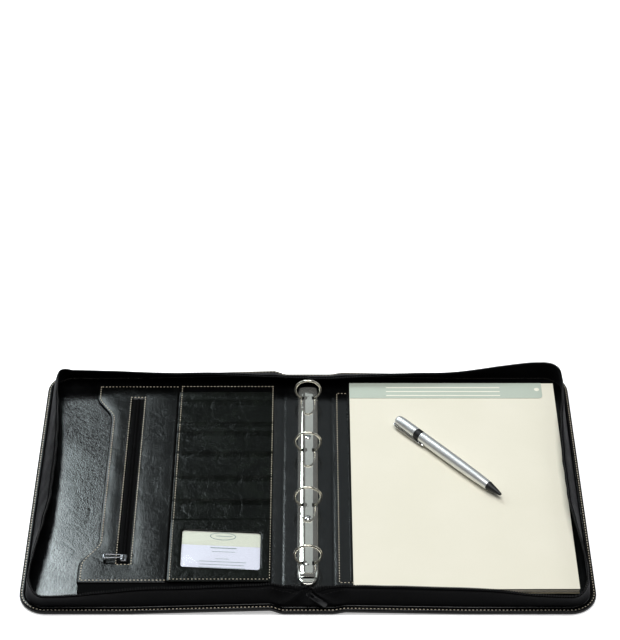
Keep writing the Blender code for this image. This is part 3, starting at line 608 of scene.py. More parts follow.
def covers():
    """The leather, lining and stitching of both halves."""
    for half, side in SIDES.items():
        nodes = [half + "_leather", half + "_board"]
        linings = [half + "_lining"]
        if side < 0:
            nodes += ["front_edge_leather", "spine_leather"]
            linings += ["spine_lining", "spine_board"]
        cover_plate(half + "_cover_leather", side, LEATHER_PROFILE, PLATE_INSET, underside,
                    lambda x, y: 1.2 * MM, "shell", nodes)
        cover_plate(half + "_cover_lining", side, LINING_PROFILE, PLATE_INSET, lambda x, y: 1.5 * MM,
                    lining_height(side), "lining", linings)
        rows = [stitches(edge_path(side, 2.2 * MM, 4.5 * MM, (0, 0, 1)))]
        rows.append(stitches(edge_path(side, 5.0 * MM, 0.2 * MM, (0, 0, -1))))
        make(half + "_edge_stitching", *merge(rows), "thread", hinge(side, HINGE_BLEND))
    seam = [((-218.5 * MM, y, 0.05 * MM), (0, 0, -1)) for y in ramp(-170 * MM, 170 * MM, 60)]
    make("pocket_seam_stitching", *stitches(seam), "thread", "front_cover")


# ---------------------------------------------------------------- gusset and main zip

SLANT = 20.6 * MM
TAPE_END = 23.8 * MM
CLOTH = 0.9 * MM
TOOTH_PITCH = 2.4 * MM
TURN_STEPS = 20
REACH = HALF_LENGTH - CORNER_RADIUS
TURN_Y = HALF_WIDTH - CORNER_RADIUS
# How far the cloth falls inwards, in degrees, at each edge's start, middle and end. The edges run from the
# spine's top to the corner, down the side, and from the lower corner to the spine's foot.
LEANS = {
    -1: {"top": (50, 40, 30), "side": (15, 35, 10), "foot": (-20, 0, 5)},
    1: {"top": (50, 40, 5), "side": (5, 30, 5), "foot": (-20, 0, 5)},
}
LEAN_RUN = 0.45


def edge_lean(angles, share):
    """The cloth's lean at a share of the way along an edge, level in the middle and eased at both ends."""
    first, middle, last = angles
    if share < 0.5:
        return first + (middle - first) * ease(share / LEAN_RUN)
    return last + (middle - last) * ease((1.0 - share) / LEAN_RUN)


def corner_turn(end, first, last):
    """Stations round the upper (end 1) or lower (end -1) corner, as (x, y, normal x, normal y, lean)."""
    found = []
    for i in range(1, TURN_STEPS):
        swept = 90.0 * i / TURN_STEPS
        turn = math.radians(90.0 - swept if end > 0 else swept)
        share = ease(i / TURN_STEPS) ** (1 if end > 0 else 2)
        nx, ny = math.cos(turn), end * math.sin(turn)
        found.append((REACH + CORNER_RADIUS * nx, end * TURN_Y + CORNER_RADIUS * ny, nx, ny,
                      first * (1.0 - share) + last * share))
    return found


def gusset_line(side):
    """Close stations round one half, spine top to spine foot: (base point, outward normal, lean, distance)."""
    lean = LEANS[side]
    xs = ramp(0.0, 60.0 * MM, 30) + ramp(63.0 * MM, REACH, 52)
    raw = [(x, HALF_WIDTH, 0.0, 1.0, edge_lean(lean["top"], x / REACH)) for x in xs]
    raw += corner_turn(1, lean["top"][-1], lean["side"][0])
    for y in ramp(TURN_Y, -TURN_Y, 84):
        raw.append((HALF_LENGTH, y, 1.0, 0.0, edge_lean(lean["side"], 0.5 - 0.5 * y / TURN_Y)))
    raw += corner_turn(-1, lean["side"][-1], lean["foot"][0])
    raw += [(x, -HALF_WIDTH, 0.0, -1.0, edge_lean(lean["foot"], 1.0 - x / REACH)) for x in reversed(xs)]
    line, distance, before = [], 0.0, None
    for x, y, nx, ny, angle in raw:
        place = Vector((side * (x - nx * GUSSET_INSET), y - ny * GUSSET_INSET, FLOOR_Z - 0.2 * MM))
        distance += (place - before).length if before else 0.0
        before = place
        line.append((place, Vector((side * nx, ny, 0.0)), math.radians(angle), distance))
    return line


def spine_fold(place, share):
    """The folds that fan out from the zip's end over the foot of the spine."""
    if place.y > 0.0 or abs(place.x) > 46.0 * MM:
        return 0.0
    drop = (1.0 - share) * TAPE_END
    spread = math.atan2(place.x, drop + 3.0 * MM)
    reach = math.hypot(place.x, drop)
    fade = ease((46.0 * MM - abs(place.x)) / (20.0 * MM)) * min(1.0, reach / (9.0 * MM))
    return 2.3 * MM * math.cos(6.5 * spread) * fade / max(share, 0.25) ** 1.2 * ease(share / 0.25)


def gusset_point(station, slant, side, out=0.0):
    """A point on the gusset at a slant height, out from its middle surface."""
    place, normal, lean, distance = station
    steps = 8
    across, up = 0.0, 0.0
    for i in range(steps):
        share = (i + 0.5) / steps * slant / TAPE_END
        angle = lean * (0.62 + 0.76 * share)
        across -= math.sin(angle) * slant / steps
        up += math.cos(angle) * slant / steps
    share = slant / TAPE_END
    corner = ease(1.0 - abs(abs(normal.x) - 0.7) / 0.7)
    seed = 5.0 + side
    ripple = noise.noise(Vector((distance / 0.060, 0.6 * share, seed))) * 1.6 * MM
    ripple += noise.noise(Vector((distance / 0.018, 2.0 * share, seed + 9.0))) * (0.5 + 0.9 * corner) * MM
    ripple += spine_fold(place, share)
    across += ripple * share ** 1.2
    up -= abs(ripple) * 0.35 * share
    angle = lean * (0.62 + 0.76 * share)
    facing = normal * math.cos(angle) + Vector((0.0, 0.0, 1.0)) * math.sin(angle)
    return place + normal * across + Vector((0.0, 0.0, 1.0)) * up + facing * out, facing


def gusset_strip(line, side, heights, outward, inward):
    """A closed strip of the gusset between two offsets from its middle surface, and its UV map."""
    loops, uv = [], []
    for station in line:
        outer = [gusset_point(station, h, side, outward)[0] for h in heights]
        inner = [gusset_point(station, h, side, inward)[0] for h in reversed(heights)]
        loops.append(outer + inner)
        uv += [(station[3], h) for h in heights + heights[::-1]]
    return loft(loops), uv


def gussets():
    """The standing cloth round both halves, with the main zip's tape, coil and stitching along its top."""
    for half, side in SIDES.items():
        line = gusset_line(side)
        bend = hinge(side, GUSSET_BLEND)
        nodes = [half + "_gusset"] + (["spine_gusset_top", "spine_gusset_bottom"] if side < 0 else [])
        body, uv = gusset_strip(line, side, ramp(0.0, SLANT, 9), 0.5 * CLOTH, -0.5 * CLOTH)
        cloth = make(half + "_gusset_cloth", *body, "gusset", bend, nodes, uv, 70.0)
        heights = [SLANT - 1.2 * MM, SLANT, SLANT + 1.2 * MM, TAPE_END - 0.6 * MM]
        body, uv = gusset_strip(line, side, heights, -0.55 * CLOTH, -1.15 * CLOTH)
        make(half + "_zip_tape", *body, "gusset", bend, [half + "_zip_chain"], uv, 70.0)
        teeth = []
        wanted = 0.0
        for near, far in zip(line[:-1], line[1:]):
            while far[3] > near[3] and wanted <= far[3]:
                share = (wanted - near[3]) / (far[3] - near[3])
                station = (near[0].lerp(far[0], share), near[1].lerp(far[1], share).normalized(),
                           near[2] + (far[2] - near[2]) * share, wanted)
                teeth.append(tooth(station, side))
                wanted += TOOTH_PITCH
        make(half + "_zip_teeth", *merge(teeth), "coil", bend)
        path = [gusset_point(station, SLANT - 2.0 * MM, side, 0.5 * CLOTH) for station in line]
        make(half + "_tape_stitching", *stitches(path, 3.2 * MM, 2.3 * MM, 0.25 * MM, 0.18 * MM),
             "coil", bend)


def tooth(station, side):
    """One turn of the zip's coil, as a short rounded bar across the tape's edge."""
    low, facing = gusset_point(station, TAPE_END - 2.4 * MM, side, -0.85 * CLOTH)
    high, _ = gusset_point(station, TAPE_END + 0.4 * MM, side, -0.85 * CLOTH)
    return tube([low, low.lerp(high, 0.15), low.lerp(high, 0.85), high],
                [0.35 * MM, 0.75 * MM, 0.85 * MM, 0.45 * MM], 6)


# ---------------------------------------------------------------- organiser on the front cover

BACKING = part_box("organiser_backing")
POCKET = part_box("zip_pocket_panel")
POCKET_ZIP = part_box("pocket_zip_tape")
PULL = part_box("pocket_zip_pull")
CARD_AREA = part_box("business_card")
ORGANISER_RIGHT = BACKING[1].x
SEAM = POCKET[1].x + 0.3 * MM
LEFT = POCKET[0].x
WAIST = LEFT + 16.6 * MM
WAIST_TOP = 97.8 * MM
WAIST_BOTTOM = -80.3 * MM
WAIST_RUN = 34.0 * MM
TOP = POCKET[1].y
BOTTOM = POCKET[0].y
BACKING_BOTTOM = BACKING[0].y
PANEL_Z = 5.9 * MM
ZIP_X = 0.5 * (POCKET_ZIP[0].x + POCKET_ZIP[1].x)
MOUTH = 5.4 * MM
ZIP_TOP = POCKET_ZIP[1].y + 1.5 * MM
ZIP_BOTTOM = POCKET_ZIP[0].y - 1.5 * MM
SLOT_MOUTHS = [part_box(f"card_slot_{number}")[1].y for number in range(1, 8)]
WINDOW_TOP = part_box("window_panel")[1].y
WINDOW = (0.5 * (CARD_AREA[0].x + CARD_AREA[1].x), 0.5 * (CARD_AREA[0].y + CARD_AREA[1].y), 75.0 * MM,
          50.0 * MM)
CARD = (85.0 * MM, 55.0 * MM)
WINDOW_TILT = 0.062
PULL_TAPER = 14.0 * MM


def waist(y):
    """The zip panel's left edge at a height, drawn in between its two curves."""
    lower = ease((y - WAIST_BOTTOM + WAIST_RUN) / WAIST_RUN)
    upper = 1.0 - ease((y - WAIST_TOP) / WAIST_RUN)
    return LEFT + (WAIST - LEFT) * min(lower, upper)


def roll(distance, radius):
    """How far a rounded edge drops below its panel's face."""
    if distance >= radius:
        return 0.0
    return radius - math.sqrt(max(0.0, radius * radius - (radius - distance) ** 2))


def row(x0, y0, x1, y1, z):
    """A straight row of stitches on a level face."""
    return stitches([((x0, y0, z), UP), ((x1, y1, z), UP)])


def pinched(half_x, half_y, radius, depth, middle, run):
    """A slider's outline as a function of inset, drawn in by a share of its width about one height."""
    def outline(inset):
        shape = rounded(-half_x + inset, half_x - inset, -half_y + inset, half_y - inset, radius - inset)
        return [(x * (1.0 - depth * math.exp(-((y - middle) / run) ** 2)), y) for x, y in shape]
    return outline


def link(outer, inner, section, place):
    """A flat loop between two outlines. section holds (share of the way inwards, height in mm)."""
    loops = []
    for share, z in section:
        loops.append([place @ Vector((a[0] + (b[0] - a[0]) * share, a[1] + (b[1] - a[1]) * share, z * MM))
                      for a, b in zip(outer, inner)])
    return loft(loops, closed=True)


def zip_panel():
    """The zip pocket's front: a puffed leather panel with a long mouth and turned edges."""
    edge = [0.0, 0.25 * MM, 0.7 * MM, 1.4 * MM, 3.0 * MM]
    left_part = [0.0, 0.02, 0.06, 0.14, 0.3, 0.5, 0.7, 0.86, 0.94, 0.98, 1.0]
    us = [-1.0 + u for u in left_part] + [0.12, 0.88] + [1.0 + u for u in left_part]
    ys = [BOTTOM + d for d in edge] + ramp(BOTTOM + 8 * MM, ZIP_BOTTOM - 2 * MM, 2)
    ys += [ZIP_BOTTOM - 0.8 * MM, ZIP_BOTTOM, ZIP_BOTTOM + 0.4 * MM]
    ys += ramp(ZIP_BOTTOM + 3 * MM, ZIP_TOP - 3 * MM, 34)
    ys += [ZIP_TOP - 0.4 * MM, ZIP_TOP, ZIP_TOP + 0.8 * MM, ZIP_TOP + 2 * MM, TOP - 8 * MM]
    ys += [TOP - d for d in reversed(edge)]
    right = SEAM - 0.3 * MM

    def across(u, y):
        if u <= 0.0:
            return waist(y) + (ZIP_X - MOUTH - waist(y)) * (1.0 + u)
        if u < 1.0:
            return ZIP_X - MOUTH + 2 * MOUTH * u
        return ZIP_X + MOUTH + (right - ZIP_X - MOUTH) * (u - 1.0)

    def top(u, y):
        x = across(u, y)
        inside = 0.0 < u < 1.0 and ZIP_BOTTOM < y < ZIP_TOP
        if inside:
            return (x, y, PANEL_Z + 0.15 * MM)
        rim = min(x - waist(y), right - x, y - BOTTOM, TOP - y)
        gap_x = max(ZIP_X - MOUTH - x, x - ZIP_X - MOUTH, 0.0)
        gap_y = max(ZIP_BOTTOM - y, y - ZIP_TOP, 0.0)
        mouth = math.hypot(gap_x, gap_y)
        near = min(rim, mouth)
        puff = 0.7 * MM * ease(near / (12 * MM)) * (0.5 + 0.5 * waves(x, y, 48 * MM, 1.7))
        wobble = 0.30 * MM * waves(x, y, 23 * MM, 4.2) * ease(near / (6 * MM))
        groove = 0.12 * MM * math.exp(-((near - 2.4 * MM) / (0.7 * MM)) ** 2)
        return (x, y, PANEL_Z + 1.15 * MM - roll(near, 0.9 * MM) + puff + wobble - groove)

    def bottom(u, y):
        return (across(u, y), y, PANEL_Z)

    make("zip_pocket_leather", *slab(us, ys, top, bottom), "panel", "front_cover",
         ["zip_pocket_panel"], sharp=55.0)
    face = PANEL_Z + 1.12 * MM
    inset = 3.0 * MM
    rows = [stitches([((waist(y) + inset, y, face), UP) for y in ramp(BOTTOM + inset, TOP - inset, 60)])]
    for y in (BOTTOM + inset, TOP - inset):
        rows.append(row(LEFT + inset, y, right - 1 * MM, y, face))
    x0, x1 = ZIP_X - MOUTH - 1.8 * MM, ZIP_X + MOUTH + 1.8 * MM
    y0, y1 = ZIP_BOTTOM - 1.8 * MM, ZIP_TOP + 1.8 * MM
    box = [(x0, y0), (x1, y0), (x1, y1), (x0, y1), (x0, y0)]
    rows.append(stitches([((x, y, face + 0.05 * MM), UP) for x, y in box]))
    make("zip_pocket_stitching", *merge(rows), "thread", "front_cover")


def pocket_zip():
    """The pocket's zip: tape, coil, slider and the looped pull that lies to its left."""
    body = "front_cover"
    low = PANEL_Z + 0.2 * MM
    us = ramp(ZIP_X - MOUTH + 0.4 * MM, ZIP_X + MOUTH - 0.4 * MM, 10)
    ys = ramp(ZIP_BOTTOM + 0.6 * MM, ZIP_TOP - 0.6 * MM, 60)

    def top(x, y):
        dip = 0.25 * MM * math.cos((x - ZIP_X) / MOUTH * math.pi)
        return (x, y, low + 0.45 * MM + dip * 0.5 + 0.1 * MM * waves(x, y, 15 * MM, 2.0))

    make("pocket_zip_cloth", *slab(us, ys, top, lambda x, y: (x, y, low)), "tape", body,
         ["pocket_zip_tape"])
    turns = []
    y = ZIP_BOTTOM + 1.5 * MM
    side = 1
    while y < ZIP_TOP - 1.5 * MM:
        turns.append(tube([(ZIP_X + side * 2.1 * MM, y, low + 0.85 * MM),
                           (ZIP_X + side * 1.6 * MM, y, low + 1.15 * MM),
                           (ZIP_X - side * 0.3 * MM, y, low + 1.2 * MM),
                           (ZIP_X - side * 0.6 * MM, y, low + 1.0 * MM)],
                          [0.35 * MM, 0.5 * MM, 0.5 * MM, 0.3 * MM], 6))
        y += 0.85 * MM
        side = -side
    make("pocket_zip_coil", *merge(turns), "coil", body)
    slider_y = 0.5 * (PULL[0].y + PULL[1].y)
    place = Matrix.Translation((ZIP_X, slider_y, 0.0))

    wing = pinched(3.6 * MM, 4.6 * MM, 2.0 * MM, 0.22, -1.0 * MM, 1.6 * MM)
    parts = [plate(wing, 7.55 * MM, 9.1 * MM, 0.45 * MM, 0.2 * MM, place)]
    bridge = []
    for turn in ramp(0.0, 180.0, 10):
        angle = math.radians(turn)
        bridge.append((ZIP_X, slider_y + 2.6 * MM * math.cos(angle),
                       9.0 * MM + 1.4 * MM * math.sin(angle)))
    parts.append(tube(bridge, 0.62 * MM, 8))
    make("pocket_slider_body", *merge(parts), "gunmetal", "pocket_slider", ["pocket_zip_slider"])
    outer, inner = [], []
    for x, y in rounded(-20.0 * MM, 0.4 * MM, -3.2 * MM, 3.2 * MM, 2.2 * MM, 7):
        outer.append((x, y * (0.72 + 0.28 * ease(-x / PULL_TAPER))))
    for x, y in rounded(-17.2 * MM, -1.4 * MM, -1.7 * MM, 1.7 * MM, 1.3 * MM, 7):
        inner.append((x, y * (0.62 + 0.38 * ease(-x / PULL_TAPER))))
    section = [(0.0, -0.2), (0.18, -0.5), (0.5, -0.55), (0.82, -0.5), (1.0, -0.2), (1.0, 0.2),
               (0.82, 0.45),
               (0.5, 0.5), (0.18, 0.45), (0.0, 0.2)]
    pull = link(outer, inner, section, Matrix.Translation((ZIP_X, slider_y, 11.0 * MM)))
    make("pocket_pull_loop", *pull, "gunmetal", "pocket_pull", ["pocket_zip_pull"])


def organiser_panels():
    """The backing, the card slots and the window panel with its card."""
    body = "front_cover"
    us = [0.0, 0.01, 0.03, 0.07] + ramp(0.12, 0.9, 9) + [0.96, 0.985, 0.995, 1.0]
    ys = [BACKING_BOTTOM + d for d in EDGE_STEPS] + ramp(BACKING_BOTTOM + 6 * MM, TOP - 5 * MM, 34)
    ys += [TOP - d for d in reversed(EDGE_STEPS)]
    right = ORGANISER_RIGHT

    def place(u, y):
        left = waist(y) + 1.2 * MM
        return left + (right - left) * u

    def top(u, y):
        x = place(u, y)
        rim = min(x - waist(y) - 1.2 * MM, right - x, y - BACKING_BOTTOM, TOP - y)
        return (x, y, 5.75 * MM - roll(max(rim, 0.0), 0.6 * MM) + 0.08 * MM * waves(x, y, 30 * MM, 6.0))

    make("organiser_base", *slab(us, ys, top, lambda u, y: (place(u, y), y, 5.0 * MM)), "backing", body,
         ["organiser_backing"], sharp=55.0)
    ends = SLOT_MOUTHS[1:] + [WINDOW_TOP]
    left = SEAM + 0.3 * MM
    xs = [left, left + 0.3 * MM, left + 1 * MM] + ramp(left + 4 * MM, right - 4 * MM, 16)
    xs += [right - 1 * MM, right - 0.3 * MM, right]
    for number, (mouth, following) in enumerate(zip(SLOT_MOUTHS, ends), 1):
        foot = following - 2.5 * MM
        run = min(10.0 * MM, mouth - following - 2.5 * MM)
        vs = [foot] + ramp(foot + 2 * MM, mouth - run, 4) + ramp(mouth - 0.8 * run, mouth - 1.2 * MM, 6)
        vs += [mouth - 0.7 * MM, mouth - 0.3 * MM, mouth]
        seed = 20.0 + number

        def base(x, y, run=run, mouth=mouth, seed=seed):
            rise = 1.2 * MM * ease(1.0 - (mouth - y) / run) if y > mouth - run else 0.0
            sag = 0.55 * MM * waves(x, 0.0, 26 * MM, seed) * ease(1.0 - (mouth - y) / run)
            ends_down = ease(min(x - left, right - x) / (5 * MM))
            return PANEL_Z + rise * (0.55 + 0.45 * ends_down) + max(-0.4 * MM, sag) * ends_down * 0.6

        def over(x, y, base=base, mouth=mouth, seed=seed):
            rim = min(mouth - y, x - left + 0.15 * MM, right - x + 0.15 * MM)
            bead = 0.40 * MM * math.exp(-((mouth - y - 0.9 * MM) / (0.7 * MM)) ** 2)
            crinkle = 0.10 * MM * waves(x, y, 11 * MM, seed)
            return (x, y, base(x, y) + 0.75 * MM + bead + crinkle - roll(max(rim, 0.0), 0.5 * MM))

        make(f"card_pocket_{number}", *slab(xs, vs, over, lambda x, y, base=base: (x, y, base(x, y))),
             "slots", body,
             [f"card_slot_{number}"], sharp=60.0)
    window_frame(body)
    upper, lower = PANEL_Z + 1.4 * MM, 8.75 * MM
    near, far, foot, head = left + 2.6 * MM, right - 1.2 * MM, BOTTOM + 2.6 * MM, TOP - 2.6 * MM
    parts = [row(far, WINDOW_TOP + 1 * MM, far, head, upper),
             row(far, foot, far, WINDOW_TOP - 1 * MM, lower),
             row(left + 1 * MM, foot, far, foot, lower), row(near, WINDOW_TOP + 1 * MM, near, head,
                                                             upper),
             row(near, foot, near, WINDOW_TOP - 1 * MM, lower), row(near, head, far, head, upper)]
    make("organiser_stitching", *merge(parts), "thread", body)


def about(x, y, size, grow, radius, steps=6):
    """A rounded rectangle about a centre, grown on every side."""
    half_x, half_y = 0.5 * size[0] + grow, 0.5 * size[1] + grow
    return rounded(x - half_x, x + half_x, y - half_y, y + half_y, radius, steps)


def window_frame(body):
    """The window panel: a leather frame round an opening, its film, and the card behind it."""
    x, y, wide, tall = WINDOW
    left, right = SEAM + 0.3 * MM, ORGANISER_RIGHT
    low, high = 7.9 * MM, 8.85 * MM

    def tilted(points):
        return [(px, py - WINDOW_TILT * (px - x)) for px, py in points]

    loops = []
    for inset, z in ((0.0, low), (0.0, high - 0.35 * MM), (0.12 * MM, high - 0.1 * MM), (0.4 * MM, high),
                     (3.0 * MM, high + 0.12 * MM)):
        shape = rounded(left + inset, right - inset, BOTTOM + inset, WINDOW_TOP - inset, 1.0 * MM, 8)
        loops.append([(px, py, z) for px, py in shape])
    for grow, z in ((3.0 * MM, high + 0.15 * MM), (1.2 * MM, high + 0.1 * MM),
                    (0.3 * MM, high - 0.1 * MM),
                    (0.0, high - 0.4 * MM), (0.0, low)):
        shape = tilted(about(x, y, (wide, tall), grow, 3.0 * MM + grow, 8))
        loops.append([(px, py, z) for px, py in shape])
    make("window_leather", *loft(loops, closed=True), "slots", body, ["window_panel"], sharp=60.0)
    margin = 4.0 * MM

    def film(inset):
        return about(x, y, (wide, tall), margin - inset, 2.0 * MM)

    make("window_clear_film", *plate(film, 7.42 * MM, 7.58 * MM, 0.03 * MM), "film", body,
         ["window_film"])

    def card(inset):
        return tilted(about(x, y, CARD, -inset, 1.5 * MM))

    make("card_sheet", *plate(card, 6.8 * MM, 7.1 * MM, 0.06 * MM), "card", "card", ["business_card"])
    top = 7.1 * MM
    band_low = y + 0.5 * tall - 18.5 * MM

    def band(inset):
        return tilted(rounded(x - 0.5 * CARD[0] + 0.4 * MM + inset, x + 0.5 * CARD[0] - 0.4 * MM - inset,
                              band_low + inset, y + 0.5 * CARD[1] - 0.4 * MM - inset, 0.8 * MM))

    make("card_band", *plate(band, top, top + 0.05 * MM, 0.01 * MM), "card_band", "card")
    marks = []
    oval_x, oval_y = x + 1.5 * MM, y + 0.5 * tall - 5.6 * MM
    ring_out, ring_in = [], []
    for i in range(36):
        turn = math.tau * i / 36
        ring_out.append((oval_x + 12.5 * MM * math.cos(turn), oval_y + 5.2 * MM * math.sin(turn)))
        ring_in.append((oval_x + 11.7 * MM * math.cos(turn), oval_y + 4.4 * MM * math.sin(turn)))
    z0, z1 = top + 0.04 * MM, top + 0.10 * MM
    loops = [[(px, py, z) for px, py in tilted(ring)] for ring, z in
             ((ring_out, z0), (ring_out, z1), (ring_in, z1), (ring_in, z0))]
    marks.append(loft(loops, closed=True))
    window_top = y + 0.5 * tall
    # Generic rules on the card: (aside, down, length, weight) in mm
    rules = [(1.0, 5.4, 16.0, 0.8), (1.0, 21.5, 25.0, 1.1), (1.0, 26.5, 22.0, 0.5),
             (0.0, 36.0, 13.0, 0.4),
             (0.0, 40.0, 46.0, 0.6), (0.0, 44.0, 42.0, 0.6), (0.0, 48.0, 44.0, 0.6)]
    for aside, down, length, weight in rules:
        def bar(inset, aside=aside, down=down, size=(length * MM, weight * MM)):
            return tilted(about(oval_x + aside * MM, window_top - down * MM, size, -inset, 0.1 * MM, 2))
        marks.append(plate(bar, z0, z1, 0.01 * MM))
    make("card_marks", *merge(marks), "ink", "card")


# ---------------------------------------------------------------- ring mechanism

RING_Y = [0.5 * (low.y + high.y) for low, high in (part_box(f"ring_half_left_{n}") for n in range(1, 5))]
RING_RADIUS = 12.2 * MM
RING_Z = 19.4 * MM
WIRE = 1.2 * MM
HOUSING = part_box("ring_housing")
MIDDLE = 0.5 * (HOUSING[0].y + HOUSING[1].y)
HOUSING_END = 0.5 * (HOUSING[1].y - HOUSING[0].y)
TRIGGER_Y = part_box("ring_trigger")[1].y


def housing():
    """The bright nickel housing: a low arch with rounded ends, ring slots and a small raised bump on its
    middle by each ring, and the chrome rivet heads.
    """
    width, foot, crown = 10.0 * MM, FLOOR_Z, 9.8 * MM
    turns = [math.radians(t) for t in ramp(0.0, 30.0, 4)[:-1] + ramp(30.0, 150.0, 20) + ramp(150.0,
                                                                                             180.0,
                                                                                             4)[1:]]
    rings_y = [y - MIDDLE for y in RING_Y]
    ys = [-HOUSING_END, -HOUSING_END + 0.4 * MM, -HOUSING_END + 1.5 * MM, -HOUSING_END + 3.5 * MM]
    ys += ramp(-HOUSING_END + 6.0 * MM, -HOUSING_END + 12.0 * MM, 2)
    for y in reversed(rings_y):
        ys += [y + d * MM for d in (-4.5, -2.7, -2.0, 0.0, 2.0, 2.7, 4.5)]
    for low, high in zip(rings_y[1:], rings_y[:-1]):
        ys += ramp(low + 9.0 * MM, high - 9.0 * MM, 6)
    ys += [-y for y in ys[:6]]
    ys = sorted(set(round(y, 7) for y in ys))

    def section(turn, y, thick):
        close = HOUSING_END - abs(y)
        taper = 1.0 - 0.10 * (1.0 - ease(close / (7.0 * MM)))
        drop = 1.0 - 0.16 * (1.0 - ease(close / (4.0 * MM)))
        across = (width - thick) * math.cos(turn) * taper
        rise = math.sin(turn) ** 0.62
        bump = 0.0
        for ring in rings_y:
            near = math.exp(-((y - ring + 0.6 * MM) / (1.5 * MM)) ** 2)
            bump += 0.5 * MM * near * math.exp(-(across / (1.7 * MM)) ** 2)
        return (across, y + MIDDLE, foot + (crown - 0.7 * MM - foot - thick) * rise * drop + bump)

    def top(turn, y):
        return section(turn, y, 0.0)

    def bottom(turn, y):
        return section(turn, y, 0.8 * MM)

    def hole(turn, y):
        across = abs(width * math.cos(turn))
        beside_ring = any(abs(y - ring) < 2.69 * MM for ring in rings_y)
        return across > 4.4 * MM and math.sin(turn) > 0.35 and beside_ring

    make("housing_arch", *slab(turns, ys, top, bottom, hole), "nickel", "spine", ["ring_housing"],
         sharp=50.0)
    for name in ("housing_rivet_top", "housing_rivet_bottom"):
        y = 0.5 * (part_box(name)[0].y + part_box(name)[1].y)
        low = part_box(name)[0].z - 0.9 * MM
        loops = []
        for radius, rise in ((3.0, 0.0), (3.0, 0.25), (2.8, 0.55), (2.2, 0.8), (1.2, 0.95), (0.3, 1.0)):
            loops.append([(radius * MM * math.cos(t), y + radius * MM * math.sin(t), low + rise * MM)
                          for t in (math.tau * i / 24 for i in range(24))])
        make(name + "_head", *loft(loops), "chrome", "spine", [name])


def rings():
    """Smooth half rings that meet at their tops, and the trigger lever."""
    foot = math.asin((RING_Z - 7.9 * MM - WIRE) / RING_RADIUS)
    for side, name in ((-1, "left"), (1, "right")):
        for number, y in enumerate(RING_Y, 1):
            path = [(side * 6.6 * MM, y, 7.9 * MM), (side * 7.2 * MM, y, 8.6 * MM)]
            top = 0.5 * math.pi - 0.012
            for i in range(37):
                turn = -foot + 0.06 + (top + foot - 0.06) * i / 36
                path.append((side * 1.05 * RING_RADIUS * math.cos(turn), y,
                             RING_Z + RING_RADIUS * math.sin(turn)))
            make(f"ring_{name}_{number}", *tube(path, WIRE, 16), "wire", "rings_" + name,
                 [f"ring_half_{name}_{number}"])
    outline = []
    for i in range(25):
        turn = math.pi + math.pi * i / 24
        outline.append((math.cos(turn), math.sin(turn)))

    def lever(inset):
        return [((8.0 * MM - inset) * c,
                 TRIGGER_Y - inset * 0.6 + (8.0 * MM - 1.6 * inset) * s) for c, s in outline]

    make("trigger_lever", *plate(lever, 5.6 * MM, 7.5 * MM, 0.5 * MM, 0.3 * MM), "nickel", "trigger",
         ["ring_trigger"])


# ---------------------------------------------------------------- pad on the back cover

def pad():
    """The pad's pocket panel, its backing board, its pages and its header."""
    body = "back_cover"
    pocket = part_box("pad_pocket_panel")
    left, right, foot, head = pocket[0].x, pocket[1].x, pocket[0].y, pocket[1].y
    xs = [left + d for d in EDGE_STEPS] + ramp(left + 6 * MM, right - 6 * MM, 14)
    xs += [right - d for d in reversed(EDGE_STEPS)]
    ys = [foot + d for d in EDGE_STEPS] + ramp(foot + 6 * MM, head - 6 * MM, 24)
    ys += [head - d for d in reversed(EDGE_STEPS)]

    def top(x, y):
        rim = min(x - left, right - x, y - foot, head - y)
        return (x, y, 5.85 * MM - roll(max(rim, 0.0), 0.6 * MM) + 0.10 * MM * waves(x, y, 22 * MM, 7.0))

    make("pad_pocket_leather", *slab(xs, ys, top, lambda x, y: (x, y, 5.0 * MM)), "panel", body,
         ["pad_pocket_panel"], sharp=55.0)
    seam, low_end, high_end = 29.6 * MM, foot - 0.4 * MM, head - 8.6 * MM
    surface = lining_height(1)
    rows = [stitches([((seam, y, surface(seam, y)), UP) for y in ramp(low_end, high_end, 40)])]
    for y in (low_end, high_end):
        rows.append(stitches([((x, y, surface(x, y)), UP) for x in ramp(seam, 42.0 * MM, 6)]))
    make("pad_pocket_stitching", *merge(rows), "thread", hinge(1, HINGE_BLEND))

    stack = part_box("pad_sheets")
    low_x, high_x, low_y, high_y = stack[0].x, stack[1].x, stack[0].y, stack[1].y

    def board(inset):
        return rounded(low_x + inset, high_x - inset, low_y + inset, high_y - inset, 1.0 * MM, 3)

    make("pad_backing_board", *plate(board, 6.05 * MM, 6.8 * MM, 0.1 * MM), "board", body, ["pad_board"])
    rng = random.Random(11)
    sheets = []
    count = 16
    low, high = 7.1 * MM, 11.9 * MM
    for k in range(count - 1):
        z0 = low + (high - low) * k / count
        z1 = low + (high - low) * (k + 1) / count - 0.04 * MM
        slip = [rng.uniform(-0.25, 0.25) * MM for _ in range(3)]

        def leaf(inset, slip=slip):
            return rounded(low_x + inset + abs(slip[0]), high_x - inset - 0.3 * MM + slip[1],
                           low_y + inset + 0.3 * MM + slip[2], high_y - inset, 0.6 * MM, 2)

        sheets.append(plate(leaf, z0, z1, 0.04 * MM))
    make("pad_page_stack", *merge(sheets), "edges", body)
    xs = ramp(low_x, high_x, 28)
    ys = ramp(low_y, high_y, 36)
    z0 = low + (high - low) * (count - 1) / count

    def page(x, y):
        curl = 0.5 * MM * ease((x - low_x) / (high_x - low_x)) ** 3 * ease((low_y - y) / (90 * MM) + 1.0)
        return (x, y, high - 0.02 * MM + curl + 0.05 * MM * waves(x, y, 60 * MM, 9.0))

    make("pad_top_page", *slab(xs, ys, page, lambda x, y: (x, y, z0)), "pages", body, ["pad_sheets"])
    header(body, low_x, high_y)


